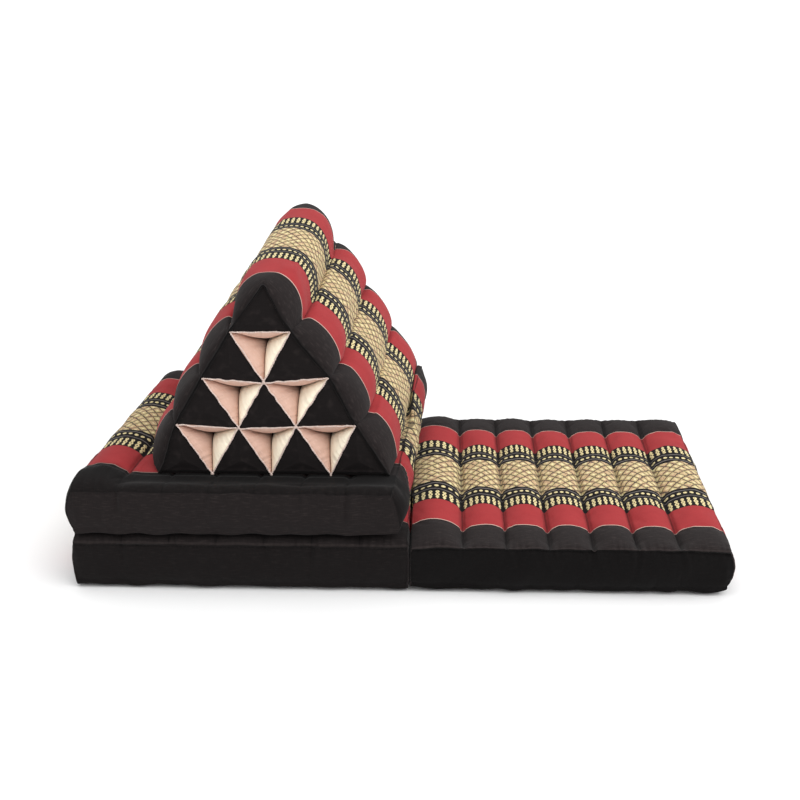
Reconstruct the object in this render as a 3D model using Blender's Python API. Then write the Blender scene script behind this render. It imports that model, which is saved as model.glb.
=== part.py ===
"""Thai triangle cushion: a folded mat of three channelled pads with a stuffed wedge on top.

Metres, +Z up. X runs along the mat, Y along the channels (front at low Y), and the origin is on
the floor under the middle of the whole cushion. Pad lines are first worked out from the left seam
of the outer pad's first channel, and the finished set is then moved over the origin.
"""

import bpy
import bmesh
import numpy as np
from mathutils import Matrix, Vector

# Sewn gap left between two cushions that press on each other
GAP = 0.0003

# Mat: three pads of seven channels, as wide as the cloth
CHANNELS = 7
PAD_WIDTH = 0.500
FLOOR_CREST = 0.0785
CHANNEL_SINK = 0.0123
SEAM_TOP = 0.0714
SEAM_BASE = 0.0065
BASE_SINK = 0.0060
FOLD_HEIGHT = 0.0832
STACK_CREST = 0.1645
ROLL_DEPTH = 0.048
SIDE_SHOULDER = 0.0090
SHOULDER_DROP = 0.0030
FRONT_BULGE = 0.0060
WALL_AT_CORNER = 0.52
CORNER_FULLNESS = 0.4
SINK_SHARPNESS = 2.2
FLAT_SHARE = 0.25
LIFT_FROM = 0.80
INSET_FROM = 0.93
CORNER_RISE_U = (0.950, 0.985)
CORNER_RISE_V = (0.35, 0.92)

# Each pad along X: left end, first inner sewn line, pitch of the lines, right end
OUTER_LINES = (-0.0125, 0.0615, 0.0615, 0.4355)
LOWER_LINES = (-0.4915, -0.4240, 0.0677, -0.0180)
UPPER_LINES = (-0.4900, -0.4257, 0.0643, -0.0270)

# How far each pad's left and right walls swell, and what sets one pad apart from another
OUTER_WALLS = (0.00235, 0.0105)
OUTER_CREST_EXTRA = (0.0060, 0.0, 0.0004, 0.0, 0.0003, -0.0004, 0.0010)
OUTER_TOP_SPREAD = 0.0030
LOWER_WALLS = (0.0060, 0.00285)
LOWER_CREST_EXTRA = 0.0025
LOWER_EDGE_RISE = 0.0040
LOWER_EDGE = (-0.075, -0.055)
UPPER_WALLS = (0.0160, 0.0160)
UPPER_SEAM_TOP = 0.1510
UPPER_SEAM_BASE = (0.0863, 0.0867, 0.0871, 0.0876, 0.0882, 0.0888, 0.0910, 0.1032)
UPPER_LEFT_SHEAR = 0.100
UPPER_TOP_INSET = 0.0130
UPPER_BASE_LIFT = 0.0150
UPPER_CREST_EXTRA = (0.0035, 0.0, 0.0, 0.0, 0.0, 0.0, 0.0)
UPPER_CORNER_RISE = 0.0230
UPPER_WALL_FADE = 0.28

# Wedge: ten stuffed triangles in four rows
ROWS = 4
CELL_WIDTH = 0.0861
CELL_HEIGHT = 0.0716
WEDGE_CENTRE = -0.2185
WEDGE_BASE = 0.1532
WEDGE_FRONT = 0.0610
WEDGE_BACK = 0.5570
FACE_LEAN = 0.0386
WEDGE_SHEAR = 0.044
FACE_CROWN = 0.0045
FOOT_STRIP = 0.018
FOOT_FRONT = 0.032
FOOT_SLOPE = 0.50
BESIDE_FROM = (0.200, 0.400)
BESIDE_STRIP = 0.0100
BESIDE_SLOPE = 3.0

# How the walls of the wedge swell behind its flat ends. Each end has the depths at which its outer
# walls, the sides of its round top and the height of that top are full, and the drop of its tip.
LOBE_RISE = 0.0235
FRONT_END = (0.090, 0.090, 0.090, 0.0075)
BACK_END = (0.090, 0.130, 0.050, 0.0120)
NODE_SHIFT = np.array((0.0090, 0.0065))
MIRROR = np.array((-1.0, 1.0))
HOLLOW_RISE = 0.0340
HOLLOW_TOP_RISE = 0.0280
HOLLOW_DEPTH = 0.110
TOP_LOBE_HALF = 0.0530
TOP_LOBE_RISE = 0.0560
TOP_LOBE_LOW = 0.0205
TOP_LOBE_START = -20.0
SQUARENESS = 0.87
CELL_INSET = 0.00020

# Stations along the channels and round the rings
WALL_STEPS = 4
PAD_STATIONS = (0.0, 0.010, 0.030, 0.070, 0.150, 0.250)
WEDGE_STATIONS = (0.0, 0.006, 0.018, 0.045, 0.090, 0.130)
SIDE_STEPS = (0.0, 0.14, 0.32, 0.5, 0.68, 0.86, 1.0)
LOBE_STEPS = 8
CHANNEL_STEPS = 4
FACE_RINGS = ((0.0, 1.0), (0.55, 0.75))
SAME_POINT = 1e-6

# Cloth
PAD_COLOUR = (0.40, 0.08, 0.07)
WEDGE_COLOUR = (0.035, 0.030, 0.028)
CLOTH_ROUGHNESS = 0.85
SHARP_ANGLE = 55.0


def material(name, colour):
    """A plain cloth finish."""
    finish = bpy.data.materials.new(name)
    finish.use_nodes = True
    shader = finish.node_tree.nodes["Principled BSDF"]
    shader.inputs["Base Color"].default_value = (*colour, 1.0)
    shader.inputs["Roughness"].default_value = CLOTH_ROUGHNESS
    shader.inputs["Metallic"].default_value = 0.0
    finish.diffuse_color = (*colour, 1.0)
    return finish


def add_object(name, mesh, finish, collection):
    """One named sub-part in the cushion's collection."""
    mesh.materials.append(finish)
    item = bpy.data.objects.new(name, mesh)
    collection.objects.link(item)
    mesh.shade_smooth()
    mesh.set_sharp_from_angle(angle=np.radians(SHARP_ANGLE))
    return item


def rounded(share):
    """Quarter ellipse: 0 at a seam, 1 where the stuffing is full."""
    inward = np.clip(1.0 - share, 0.0, 1.0)
    return np.sqrt(1.0 - inward ** 2)


def smooth(low, high, value):
    """Soft step from 0 at low to 1 at high."""
    share = np.clip((value - low) / (high - low), 0.0, 1.0)
    return share * share * (3.0 - 2.0 * share)


def cut_box(stations):
    """A unit box with a loop of edges at each station along its three axes."""
    shell = bmesh.new()
    bmesh.ops.create_cube(shell, size=1.0, matrix=Matrix.Translation((0.5, 0.5, 0.5)))
    for axis, places in enumerate(stations):
        normal = Vector((0.0, 0.0, 0.0))
        normal[axis] = 1.0
        for place in places[1:-1]:
            everything = shell.verts[:] + shell.edges[:] + shell.faces[:]
            cut = {"plane_co": normal * place, "plane_no": normal}
            bmesh.ops.bisect_plane(shell, geom=everything, dist=SAME_POINT, **cut)
    return shell


class Pad:
    """One stuffed pad: channels along Y, box walls at the ends and round side walls."""

    def __init__(self, spread, floor, crest):
        """Take the sewn lines along X, the height it stands on and the height of its crests."""
        left, first_line, pitch, right = spread
        inner = first_line + pitch * np.arange(CHANNELS - 1)
        self.lines = np.concatenate(([left], inner, [right]))
        self.floor = floor
        self.crest = np.full(CHANNELS, crest)
        self.seam_top = floor + SEAM_TOP
        self.seam_base = np.full(CHANNELS + 1, floor + SEAM_BASE)
        self.shear = (0.0, 0.0)
        self.bulge = (0.0, 0.0)
        self.top_inset = 0.0
        self.press = None
        self.base_lift = 0.0
        self.corner_rise = 0.0
        self.wall_fade = 0.0

    def across(self, u):
        """Channel of each point, 0 at its crest rising to 1 at its sewn lines, and the end halves."""
        place = np.clip(u * CHANNELS, 0.0, CHANNELS)
        index = np.minimum(np.floor(place), CHANNELS - 1).astype(int)
        offset = 2.0 * (place - index) - 1.0
        outer = ((index == 0) & (offset < 0.0)) | ((index == CHANNELS - 1) & (offset > 0.0))
        return index, np.abs(offset) ** SINK_SHARPNESS, outer

    def heights(self, u, v):
        """Heights of the upper and lower cloth: arcs between sewn lines, rounded over at the seams."""
        index, sink, outer = self.across(u)
        roll = rounded(np.minimum(v, 1.0 - v) * PAD_WIDTH / ROLL_DEPTH)
        crest = self.crest[index]
        top = crest - sink * np.where(outer, SIDE_SHOULDER, crest - np.median(self.crest) + CHANNEL_SINK)
        curl = np.clip((sink - FLAT_SHARE) / (1.0 - FLAT_SHARE), 0.0, None)
        base = self.floor + curl * np.where(outer, SIDE_SHOULDER, BASE_SINK)
        base = base + self.base_lift * smooth(LIFT_FROM, 1.0, u)
        edge = np.interp(u * CHANNELS, np.arange(CHANNELS + 1), self.seam_base)
        side_drop = SHOULDER_DROP * np.where(outer, sink, 0.0)
        top = self.seam_top - side_drop + roll * (top - self.seam_top + side_drop)
        base = edge + side_drop + roll * (base - edge - side_drop)
        top = top + self.corner_rise * smooth(*CORNER_RISE_U, u) * smooth(*CORNER_RISE_V, v)
        return top, base

    def place(self, points):
        """Carry the unit box onto the pad."""
        u, v, w = points.T
        top, base = self.heights(u, v)
        y = v * PAD_WIDTH
        x = np.interp(u * CHANNELS, np.arange(CHANNELS + 1), self.lines)
        x = x + y * (self.shear[0] + (self.shear[1] - self.shear[0]) * u)
        swell = np.sin(np.pi * w)
        from_end = rounded(np.minimum(v, 1.0 - v) * PAD_WIDTH / ROLL_DEPTH)
        wall = WALL_AT_CORNER + (1.0 - WALL_AT_CORNER) * from_end
        x = x - self.bulge[0] * swell * wall * np.isclose(u, 0.0)
        x = x + self.bulge[1] * (1.0 - self.wall_fade * v) * swell * wall * np.isclose(u, 1.0)
        x = x - self.top_inset * w * smooth(INSET_FROM, 1.0, u) * (1.0 - v)
        corner = np.sin(np.pi * np.clip(u, 0.0, 1.0)) ** CORNER_FULLNESS
        y = y - FRONT_BULGE * swell * corner * np.isclose(v, 0.0)
        y = y + FRONT_BULGE * swell * corner * np.isclose(v, 1.0)
        if self.press is not None:
            top = np.minimum(top, self.press(x, y))
        z = base + (top - base) * w
        return np.stack((x, y, z), axis=1)

    def build(self, name, finish, collection):
        """Make the solid, with closer rows near the seams."""
        half = np.array(PAD_STATIONS) / PAD_WIDTH
        along = np.concatenate((half, 1.0 - half[-2::-1]))
        steps = np.linspace(0.0, 1.0, CHANNELS * CHANNEL_STEPS + 1)
        shell = cut_box((steps, along, np.linspace(0.0, 1.0, WALL_STEPS + 1)))
        unit = np.array([vert.co for vert in shell.verts])
        for vert, spot in zip(shell.verts, self.place(unit)):
            vert.co = spot
        mesh = bpy.data.meshes.new(name)
        shell.to_mesh(mesh)
        shell.free()
        return add_object(name, mesh, finish, collection)


def wedge_limit(x, y):
    """Height that the wedge leaves to the pad under it, rising again past a strip round its foot.

    Towards the back the strip at the right grows narrow, and the pad stands up beside the wedge.
    """
    lean = WEDGE_SHEAR * (y - WEDGE_FRONT)
    half = ROWS * CELL_WIDTH / 2.0
    left = WEDGE_CENTRE - half + lean - x
    right = x - (WEDGE_CENTRE + half + lean)
    front = WEDGE_FRONT - y
    beside = smooth(*BESIDE_FROM, y)
    strip = FOOT_STRIP + (BESIDE_STRIP - FOOT_STRIP) * beside
    slope = FOOT_SLOPE + (BESIDE_SLOPE - FOOT_SLOPE) * beside
    away = np.maximum(left - FOOT_STRIP, front - FOOT_FRONT)
    rise = np.maximum(FOOT_SLOPE * away, slope * (right - strip))
    return WEDGE_BASE - GAP + np.clip(rise, 0.0, None)


def node(row, step):
    """Where the corners of the stuffed triangles meet, seen from the wedge's end."""
    return np.array(((step - row / 2.0) * CELL_WIDTH, WEDGE_BASE + (ROWS - row) * CELL_HEIGHT))


def incentre(a, b, c):
    """Point inside three corners, equally far from the sides."""
    sides = np.array((np.linalg.norm(b - c), np.linalg.norm(c - a), np.linalg.norm(a - b)))
    return (sides[0] * a + sides[1] * b + sides[2] * c) / sides.sum()


def hollow_side(start, end, far, rise, depth):
    """Wall of a hollow: it swells in as it goes deeper, until it meets the other two walls.

    The swell is a parabola that grows with depth, cut off at the lines from the corners to the
    hollow's centre, where the neighbouring walls press back.
    """
    centre = incentre(start, end, far)
    along = end - start
    length = np.linalg.norm(along)
    along = along / length
    outward = np.array((along[1], -along[0]))
    peak = np.dot(centre - start, along) / length
    height = np.dot(centre - start, outward)
    steps = np.interp(SIDE_STEPS, (0.0, 0.5, 1.0), (0.0, peak, 1.0))
    limit = height * np.minimum(steps / peak, (1.0 - steps) / (1.0 - peak))
    swell = 4.0 * rise * steps * (1.0 - steps) * rounded(depth / HOLLOW_DEPTH)
    offset = np.minimum(limit, swell)
    return start + np.outer(steps * length, along) + np.outer(offset, outward)


def lobe_side(start, end, start_shift, end_shift, full):
    """Outer wall: half an ellipse that rises as it fills, between lines that move out."""
    first = start + start_shift * full
    last = end + end_shift * full
    along = last - first
    outward = np.array((along[1], -along[0])) / np.linalg.norm(along)
    turn = np.pi * np.linspace(0.0, 1.0, LOBE_STEPS + 1)
    chord = first + np.outer((1.0 - np.cos(turn)) / 2.0, along)
    return chord + np.outer(LOBE_RISE * full * np.sin(turn), outward)


def top_lobe(end, depth):
    """Round top of the wedge: the two sides of the tip grow into one squared-off ellipse."""
    full = rounded(depth / np.array(end[1:3]))
    low = node(1, 1)
    angles = np.radians(np.linspace(TOP_LOBE_START, 90.0, LOBE_STEPS + 1))
    cosine = np.abs(np.cos(angles)) ** SQUARENESS
    sine = np.sign(np.sin(angles)) * np.abs(np.sin(angles)) ** SQUARENESS
    middle = low[1] + TOP_LOBE_LOW
    rounded_tip = node(0, 0) - np.array((0.0, end[3]))
    flat = low + np.linspace(0.0, 1.0, LOBE_STEPS + 1)[:, None] * (rounded_tip - low)
    ellipse = np.stack((TOP_LOBE_HALF * cosine, middle + TOP_LOBE_RISE * sine), axis=1)
    ellipse[0] = low + NODE_SHIFT
    right = flat + full * (ellipse - flat)
    left = right[::-1] * MIRROR
    return np.concatenate((right, left[1:]))


def cell_ring(row, step, depth, end):
    """Outline of one stuffed triangle at a depth behind the end face, anticlockwise from low left."""
    full = rounded(depth / end[0])
    low_left = node(row, step - 1)
    low_right = node(row, step)
    tip = node(row - 1, step - 1)
    low_shift = NODE_SHIFT * (0.0 if row == ROWS else 1.0)
    if row == ROWS:
        base = low_left + np.outer(SIDE_STEPS, low_right - low_left)
    else:
        base = hollow_side(low_left, low_right, node(row + 1, step), HOLLOW_TOP_RISE, depth)
    if row == 1:
        return np.concatenate((base, top_lobe(end, depth)))
    if step == row:
        lobe = lobe_side(low_right, tip, low_shift, NODE_SHIFT, full)
        right = np.concatenate((lobe, [tip]))
    else:
        right = hollow_side(low_right, tip, node(row - 1, step), HOLLOW_RISE, depth)
    if step == 1:
        lobe = lobe_side(tip, low_left, NODE_SHIFT * MIRROR, low_shift * MIRROR, full)
        left = np.concatenate((lobe, [low_left]))
    else:
        left = hollow_side(tip, low_left, node(row - 1, step - 2), HOLLOW_RISE, depth)
    return np.concatenate((base, right, left))


def inset(ring):
    """Draw an outline in by the same distance all round, so that neighbours stay just apart."""
    kept = np.linalg.norm(ring - np.roll(ring, 1, axis=0), axis=1) > SAME_POINT
    corners = ring[kept]
    edge = np.roll(corners, -1, axis=0) - corners
    inward = np.stack((-edge[:, 1], edge[:, 0]), axis=1) / np.linalg.norm(edge, axis=1)[:, None]
    before = np.roll(inward, 1, axis=0)
    mitre = (inward + before) / (1.0 + np.sum(inward * before, axis=1))[:, None]
    moved = corners + CELL_INSET * mitre
    return moved[np.cumsum(kept) - 1]


def wedge_points(ring, depth, front):
    """Carry an outline to its place behind the front face, or before the back one."""
    lean = FACE_LEAN * (ring[:, 1] - WEDGE_BASE)
    y = WEDGE_FRONT + lean + depth if front else np.full(len(ring), WEDGE_BACK - depth)
    x = WEDGE_CENTRE + ring[:, 0] + WEDGE_SHEAR * (y - WEDGE_FRONT)
    return np.stack((x, y, ring[:, 1]), axis=1)


def end_rings(row, step, front):
    """Outlines from the middle of an end face, which is slightly crowned, to the full section."""
    end = FRONT_END if front else BACK_END
    flat = inset(cell_ring(row, step, 0.0, end))
    middle = flat.mean(axis=0)
    rings = []
    for share, crown in FACE_RINGS:
        rings.append(wedge_points(middle + share * (flat - middle), -FACE_CROWN * crown, front))
    for depth in WEDGE_STATIONS:
        rings.append(wedge_points(inset(cell_ring(row, step, depth, end)), depth, front))
    return rings


def wedge_cell(row, step, finish, collection):
    """One stuffed tube: a loft from a flat triangle to the swollen section and back."""
    rings = np.array(end_rings(row, step, True) + end_rings(row, step, False)[::-1])
    count, around = rings.shape[:2]
    shell = bmesh.new()
    verts = [[shell.verts.new(point) for point in ring] for ring in rings]
    for low, high in zip(verts, verts[1:]):
        for index in range(around):
            after = (index + 1) % around
            shell.faces.new((low[index], low[after], high[after], high[index]))
    bmesh.ops.remove_doubles(shell, verts=shell.verts, dist=SAME_POINT)
    bmesh.ops.recalc_face_normals(shell, faces=shell.faces)
    name = f"wedge_row{row}_{step}"
    mesh = bpy.data.meshes.new(name)
    shell.to_mesh(mesh)
    shell.free()
    return add_object(name, mesh, finish, collection)


def outer_pad():
    """Pad that lies flat beside the stack. Its first channel stands fuller than the others."""
    pad = Pad(OUTER_LINES, 0.0, FLOOR_CREST)
    pad.crest = pad.crest + np.array(OUTER_CREST_EXTRA)
    pad.bulge = OUTER_WALLS
    pad.top_inset = -OUTER_TOP_SPREAD
    return pad


def lower_pad():
    """Pad at the foot of the stack, pressed flat by the one above it except at its right end."""
    pad = Pad(LOWER_LINES, 0.0, FOLD_HEIGHT + LOWER_CREST_EXTRA)
    pad.bulge = LOWER_WALLS
    pad.press = lambda x, y: FOLD_HEIGHT - GAP / 2.0 + LOWER_EDGE_RISE * smooth(*LOWER_EDGE, x)
    return pad


def upper_pad():
    """Pad under the wedge: skewed to the right at the back, its right side drawn up to the wedge."""
    pad = Pad(UPPER_LINES, FOLD_HEIGHT + GAP / 2.0, STACK_CREST)
    pad.seam_top = UPPER_SEAM_TOP
    pad.seam_base = np.array(UPPER_SEAM_BASE)
    pad.shear = (UPPER_LEFT_SHEAR, WEDGE_SHEAR)
    pad.bulge = UPPER_WALLS
    pad.top_inset = UPPER_TOP_INSET
    pad.base_lift = UPPER_BASE_LIFT
    pad.crest = pad.crest + np.array(UPPER_CREST_EXTRA)
    pad.corner_rise = UPPER_CORNER_RISE
    pad.wall_fade = UPPER_WALL_FADE
    pad.press = wedge_limit
    return pad


def centre_on_floor(items):
    """Move the set so that the origin is on the floor under the middle of its box."""
    corners = np.array([item.matrix_world @ vert.co for item in items for vert in item.data.vertices])
    low = corners.min(axis=0)
    high = corners.max(axis=0)
    shift = Matrix.Translation((-(low[0] + high[0]) / 2.0, -(low[1] + high[1]) / 2.0, -low[2]))
    for item in items:
        item.data.transform(shift)
        item.data.update()


def main():
    """Clear the scene and make the cushion."""
    for item in list(bpy.data.objects):
        bpy.data.objects.remove(item, do_unlink=True)
    collection = bpy.data.collections.new("thai_triangle_cushion")
    bpy.context.scene.collection.children.link(collection)
    items = []
    pads = (("pad_upper", upper_pad()), ("pad_lower", lower_pad()), ("pad_outer", outer_pad()))
    for name, pad in pads:
        finish = material(f"{name}_cloth", PAD_COLOUR)
        items.append(pad.build(name, finish, collection))
    for row in range(1, ROWS + 1):
        for step in range(1, row + 1):
            finish = material(f"wedge_cloth_{row}_{step}", WEDGE_COLOUR)
            items.append(wedge_cell(row, step, finish, collection))
    centre_on_floor(items)


main()
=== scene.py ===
"""Thai triangle cushion: looks of a folded, banded floor mat with a stuffed wedge on top.

Metres, +Z up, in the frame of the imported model. Lines of the cushion are worked out from the left
seam of the folded-out pad's first channel and then moved over the model's origin.
"""

import logging
import math
from dataclasses import dataclass, field
from enum import Enum
from typing import Optional, Sequence, Union

import bmesh
import bpy
import numpy as np
from mathutils import Matrix, Vector


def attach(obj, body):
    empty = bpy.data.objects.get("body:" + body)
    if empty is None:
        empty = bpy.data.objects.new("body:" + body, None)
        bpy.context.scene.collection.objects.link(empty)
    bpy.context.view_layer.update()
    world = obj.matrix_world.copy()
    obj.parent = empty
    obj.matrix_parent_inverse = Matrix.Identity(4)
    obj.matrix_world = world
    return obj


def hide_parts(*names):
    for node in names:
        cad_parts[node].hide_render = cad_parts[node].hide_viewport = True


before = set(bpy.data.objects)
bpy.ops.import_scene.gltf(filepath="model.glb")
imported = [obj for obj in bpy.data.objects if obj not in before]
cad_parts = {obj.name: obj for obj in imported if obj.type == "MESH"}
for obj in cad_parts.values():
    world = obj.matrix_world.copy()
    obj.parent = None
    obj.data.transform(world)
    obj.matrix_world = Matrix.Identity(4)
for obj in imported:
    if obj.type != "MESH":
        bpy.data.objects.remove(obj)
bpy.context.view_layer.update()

LOG = logging.getLogger("cushion")
# From the lines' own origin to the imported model's.
ORIGIN_SHIFT = np.array((0.02757, -0.27775, 0.0))
# Front edge to back edge of the cloth, and the width of cloth that covers one channel.
PAD_WIDTH = 0.500
CLOTH_PITCH = 0.0615
# Left between parts that lie on each other.
GAP = 0.0003
# Distance from a stitched line that stands for none near.
FAR = 0.05
Array = np.ndarray
Value = Union["Wire", float]


class Cloth(Enum):
    """Which cloth a face of a cushion is cut from; the value is its material slot on the piece."""

    BANDED = 0
    PLAIN = 1
    # The lining again, darker and pinker: painted shade on the top and left walls of the hollows.
    SHADED_LINING = 2
    CREAM_LINING = 3


def rounded(share: Array) -> Array:
    """Quarter ellipse, sqrt(1 - (1 - share)^2): 0 at a seam, 1 where the stuffing is full.

    Args:
        share: distance from the seam over the distance at which the stuffing is full.

    Returns:
        The height at each share.
    """
    inward = np.clip(1.0 - share, 0.0, 1.0)
    return np.sqrt(1.0 - inward ** 2)


def smooth(low: float, high: float, value: Array) -> Array:
    """Soft step s^2 (3 - 2 s) from 0 at low to 1 at high.

    Args:
        low: value at which the step starts.
        high: value at which it is complete.
        value: where it is wanted.

    Returns:
        The step at each value.
    """
    share = np.clip((value - low) / (high - low), 0.0, 1.0)
    return share * share * (3.0 - 2.0 * share)


def ripples(place: Array, seed: int, count: int, longest: float, shortest: float) -> Array:
    """Sum of sine waves of random phase along one line, between -1 and 1 or so.

    Args:
        place: position along the line in metres.
        seed: picks the phases.
        count: number of waves.
        longest: longest wave in metres.
        shortest: shortest wave in metres.

    Returns:
        The sum at each place, divided by the root of the number of waves.
    """
    rng = np.random.default_rng(seed)
    waves = np.exp(rng.uniform(math.log(shortest), math.log(longest), count))
    phases = rng.uniform(0.0, 2.0 * math.pi, count)
    total = np.zeros_like(place)
    for wave, phase in zip(waves, phases):
        total = total + np.sin(2.0 * math.pi * place / wave + phase)
    return total / math.sqrt(count)


def lumps(points: Array, seed: int, size: float) -> Array:
    """Slow unevenness of stuffing: product of two sine waves that run in random directions.

    Args:
        points: positions, one row each.
        seed: picks directions and phases.
        size: length of a lump in metres.

    Returns:
        A value near -1 to 1 for each point.
    """
    rng = np.random.default_rng(seed)
    total = np.zeros(len(points))
    for _ in range(4):
        first, second = rng.normal(size=(2, 3))
        first = first / np.linalg.norm(first)
        second = second / np.linalg.norm(second)
        phase = rng.uniform(0.0, 2.0 * math.pi, 2)
        turn = 2.0 * math.pi / size
        total = total + np.sin(points @ first * turn + phase[0]) * np.sin(points @ second * turn + phase[1])
    return total / 2.0


class Wire:
    """A number in a node tree. Arithmetic on it adds Math nodes."""

    def __init__(self, paint: "Paint", socket: bpy.types.NodeSocket) -> None:
        """Keep the tree's builder and the socket that carries the number."""
        self.paint = paint
        self.socket = socket

    def _math(self, operation: str, *values: Value) -> "Wire":
        """Add one Math node.

        Args:
            operation: the node's operation.
            values: its inputs in order.

        Returns:
            The node's result.
        """
        node = self.paint.node("ShaderNodeMath", {"operation": operation}, dict(enumerate(values)))
        return Wire(self.paint, node.outputs[0])

    def __add__(self, other: Value) -> "Wire":
        """Sum."""
        return self._math("ADD", self, other)

    __radd__ = __add__

    def __mul__(self, other: Value) -> "Wire":
        """Product."""
        return self._math("MULTIPLY", self, other)

    __rmul__ = __mul__

    def __sub__(self, other: Value) -> "Wire":
        """Difference."""
        return self._math("SUBTRACT", self, other)

    def __rsub__(self, other: Value) -> "Wire":
        """Difference with this value taken away."""
        return self._math("SUBTRACT", other, self)

    def __truediv__(self, other: Value) -> "Wire":
        """Quotient."""
        return self._math("DIVIDE", self, other)

    def __pow__(self, other: Value) -> "Wire":
        """Power."""
        return self._math("POWER", self, other)

    def lowest(self, other: Value) -> "Wire":
        """Smaller of two values."""
        return self._math("MINIMUM", self, other)

    def highest(self, other: Value) -> "Wire":
        """Greater of two values."""
        return self._math("MAXIMUM", self, other)

    def magnitude(self) -> "Wire":
        """Value without its sign."""
        return self._math("ABSOLUTE", self)

    def fraction(self) -> "Wire":
        """Part after the decimal point."""
        return self._math("FRACT", self)

    def ramp(self, low: float, high: float) -> "Wire":
        """Soft step from 0 at low to 1 at high, or down where low is the greater.

        Args:
            low: value at which the result is 0.
            high: value at which it is 1.

        Returns:
            The step.
        """
        node = self.paint.node(
            "ShaderNodeMapRange",
            {"interpolation_type": "SMOOTHSTEP", "clamp": True},
            {"Value": self, "From Min": low, "From Max": high, "To Min": 0.0, "To Max": 1.0},
        )
        return Wire(self.paint, node.outputs[0])

    def band(self, middle: float, half: float, soft: float) -> "Wire":
        """1 within half of middle, falling to 0 over soft."""
        return (self - middle).magnitude().ramp(half + soft, half)


class Paint:
    """Builder of one material's node tree."""

    def __init__(self, name: str) -> None:
        """Start a material with a bare Principled shader.

        Args:
            name: the material's name.
        """
        self.material = bpy.data.materials.new(name)
        self.material.use_nodes = True
        self.tree = self.material.node_tree
        self.tree.nodes.clear()
        self.out = self.node("ShaderNodeOutputMaterial", {}, {})
        self.shader = self.node("ShaderNodeBsdfPrincipled", {}, {})
        self.tree.links.new(self.shader.outputs[0], self.out.inputs["Surface"])

    def node(self, kind: str, settings: dict, inputs: dict) -> bpy.types.Node:
        """Add a node, set its settings first and then its sockets.

        Args:
            kind: the node's type.
            settings: attributes such as an operation.
            inputs: socket name or number to a value, a Wire or a socket.

        Returns:
            The new node.
        """
        made = self.tree.nodes.new(kind)
        for key, value in settings.items():
            setattr(made, key, value)
        for key, value in inputs.items():
            self.feed(made.inputs[key], value)
        return made

    def feed(self, socket: bpy.types.NodeSocket, value: object) -> None:
        """Link a Wire or socket, or set a plain value.

        Args:
            socket: the input to feed.
            value: what feeds it.
        """
        if isinstance(value, Wire):
            self.tree.links.new(value.socket, socket)
        elif isinstance(value, bpy.types.NodeSocket):
            self.tree.links.new(value, socket)
        else:
            socket.default_value = value

    def attribute(self, name: str) -> list[Wire]:
        """Components of a vector attribute of the mesh."""
        read = self.node("ShaderNodeAttribute", {"attribute_name": name}, {})
        parts = self.node("ShaderNodeSeparateXYZ", {}, {0: read.outputs["Vector"]})
        return [Wire(self, parts.outputs[axis]) for axis in range(3)]

    def vector(self, x: Value, y: Value, z: Value) -> bpy.types.NodeSocket:
        """Vector of three numbers."""
        return self.node("ShaderNodeCombineXYZ", {}, {0: x, 1: y, 2: z}).outputs[0]

    def noise(self, place: bpy.types.NodeSocket, scale: float, detail: float) -> Wire:
        """Noise value at a place, about 0.5 on average."""
        made = self.node("ShaderNodeTexNoise", {}, {"Vector": place, "Scale": scale, "Detail": detail})
        return Wire(self, made.outputs[0])

    def mix(self, share: Value, first: object, second: object) -> bpy.types.NodeSocket:
        """Colour between two colours.

        Args:
            share: 0 for the first colour, 1 for the second.
            first: colour or socket.
            second: colour or socket.

        Returns:
            The mixed colour's socket.
        """
        made = self.node("ShaderNodeMix", {"data_type": "RGBA"}, {0: share, 6: first, 7: second})
        return made.outputs[2]

    def finish(
        self, colour: object, roughness: Value, height: Optional[Wire], depth: float
    ) -> bpy.types.Material:
        """Feed the shader.

        Args:
            colour: colour socket.
            roughness: number or Wire.
            height: relief from 0 to 1, or None.
            depth: the relief's depth in metres.

        Returns:
            The material.
        """
        self.feed(self.shader.inputs["Base Color"], colour)
        self.feed(self.shader.inputs["Roughness"], roughness)
        self.shader.inputs["Specular IOR Level"].default_value = 0.12
        self.shader.inputs["Sheen Weight"].default_value = 0.04
        self.shader.inputs["Sheen Roughness"].default_value = 0.5
        if height is not None:
            bump = self.node("ShaderNodeBump", {}, {"Strength": 1.0, "Distance": depth, "Height": height})
            self.tree.links.new(bump.outputs[0], self.shader.inputs["Normal"])
        return self.material


def shade(red: float, green: float, blue: float) -> tuple[float, float, float, float]:
    """Colour from screen values of 0 to 255, as linear light."""
    linear = [
        ((value / 255.0 + 0.055) / 1.055) ** 2.4 if value > 10.3 else value / 3294.6
        for value in (red, green, blue)
    ]
    return (linear[0], linear[1], linear[2], 1.0)


@dataclass(frozen=True)
class Oval:
    """An ellipse of the ornament: its middle along the cloth and its half sizes."""

    middle: float
    half_width: float
    half_length: float

    def draw(self, x: Wire, along: Wire) -> Wire:
        """1 inside the ellipse, with a soft edge."""
        offset = (along - self.middle) / self.half_length
        return ((x / self.half_width) ** 2.0 + offset ** 2.0).ramp(1.15, 0.85)


@dataclass(frozen=True)
class Yarn:
    """Unevenness of one cloth: its threads both ways, clouds and flecks in its dye, and its grain."""

    weft: Wire
    warp: Wire
    cloudy: Wire
    grain: Wire
    flecks: Wire
    uneven: Wire


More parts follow.
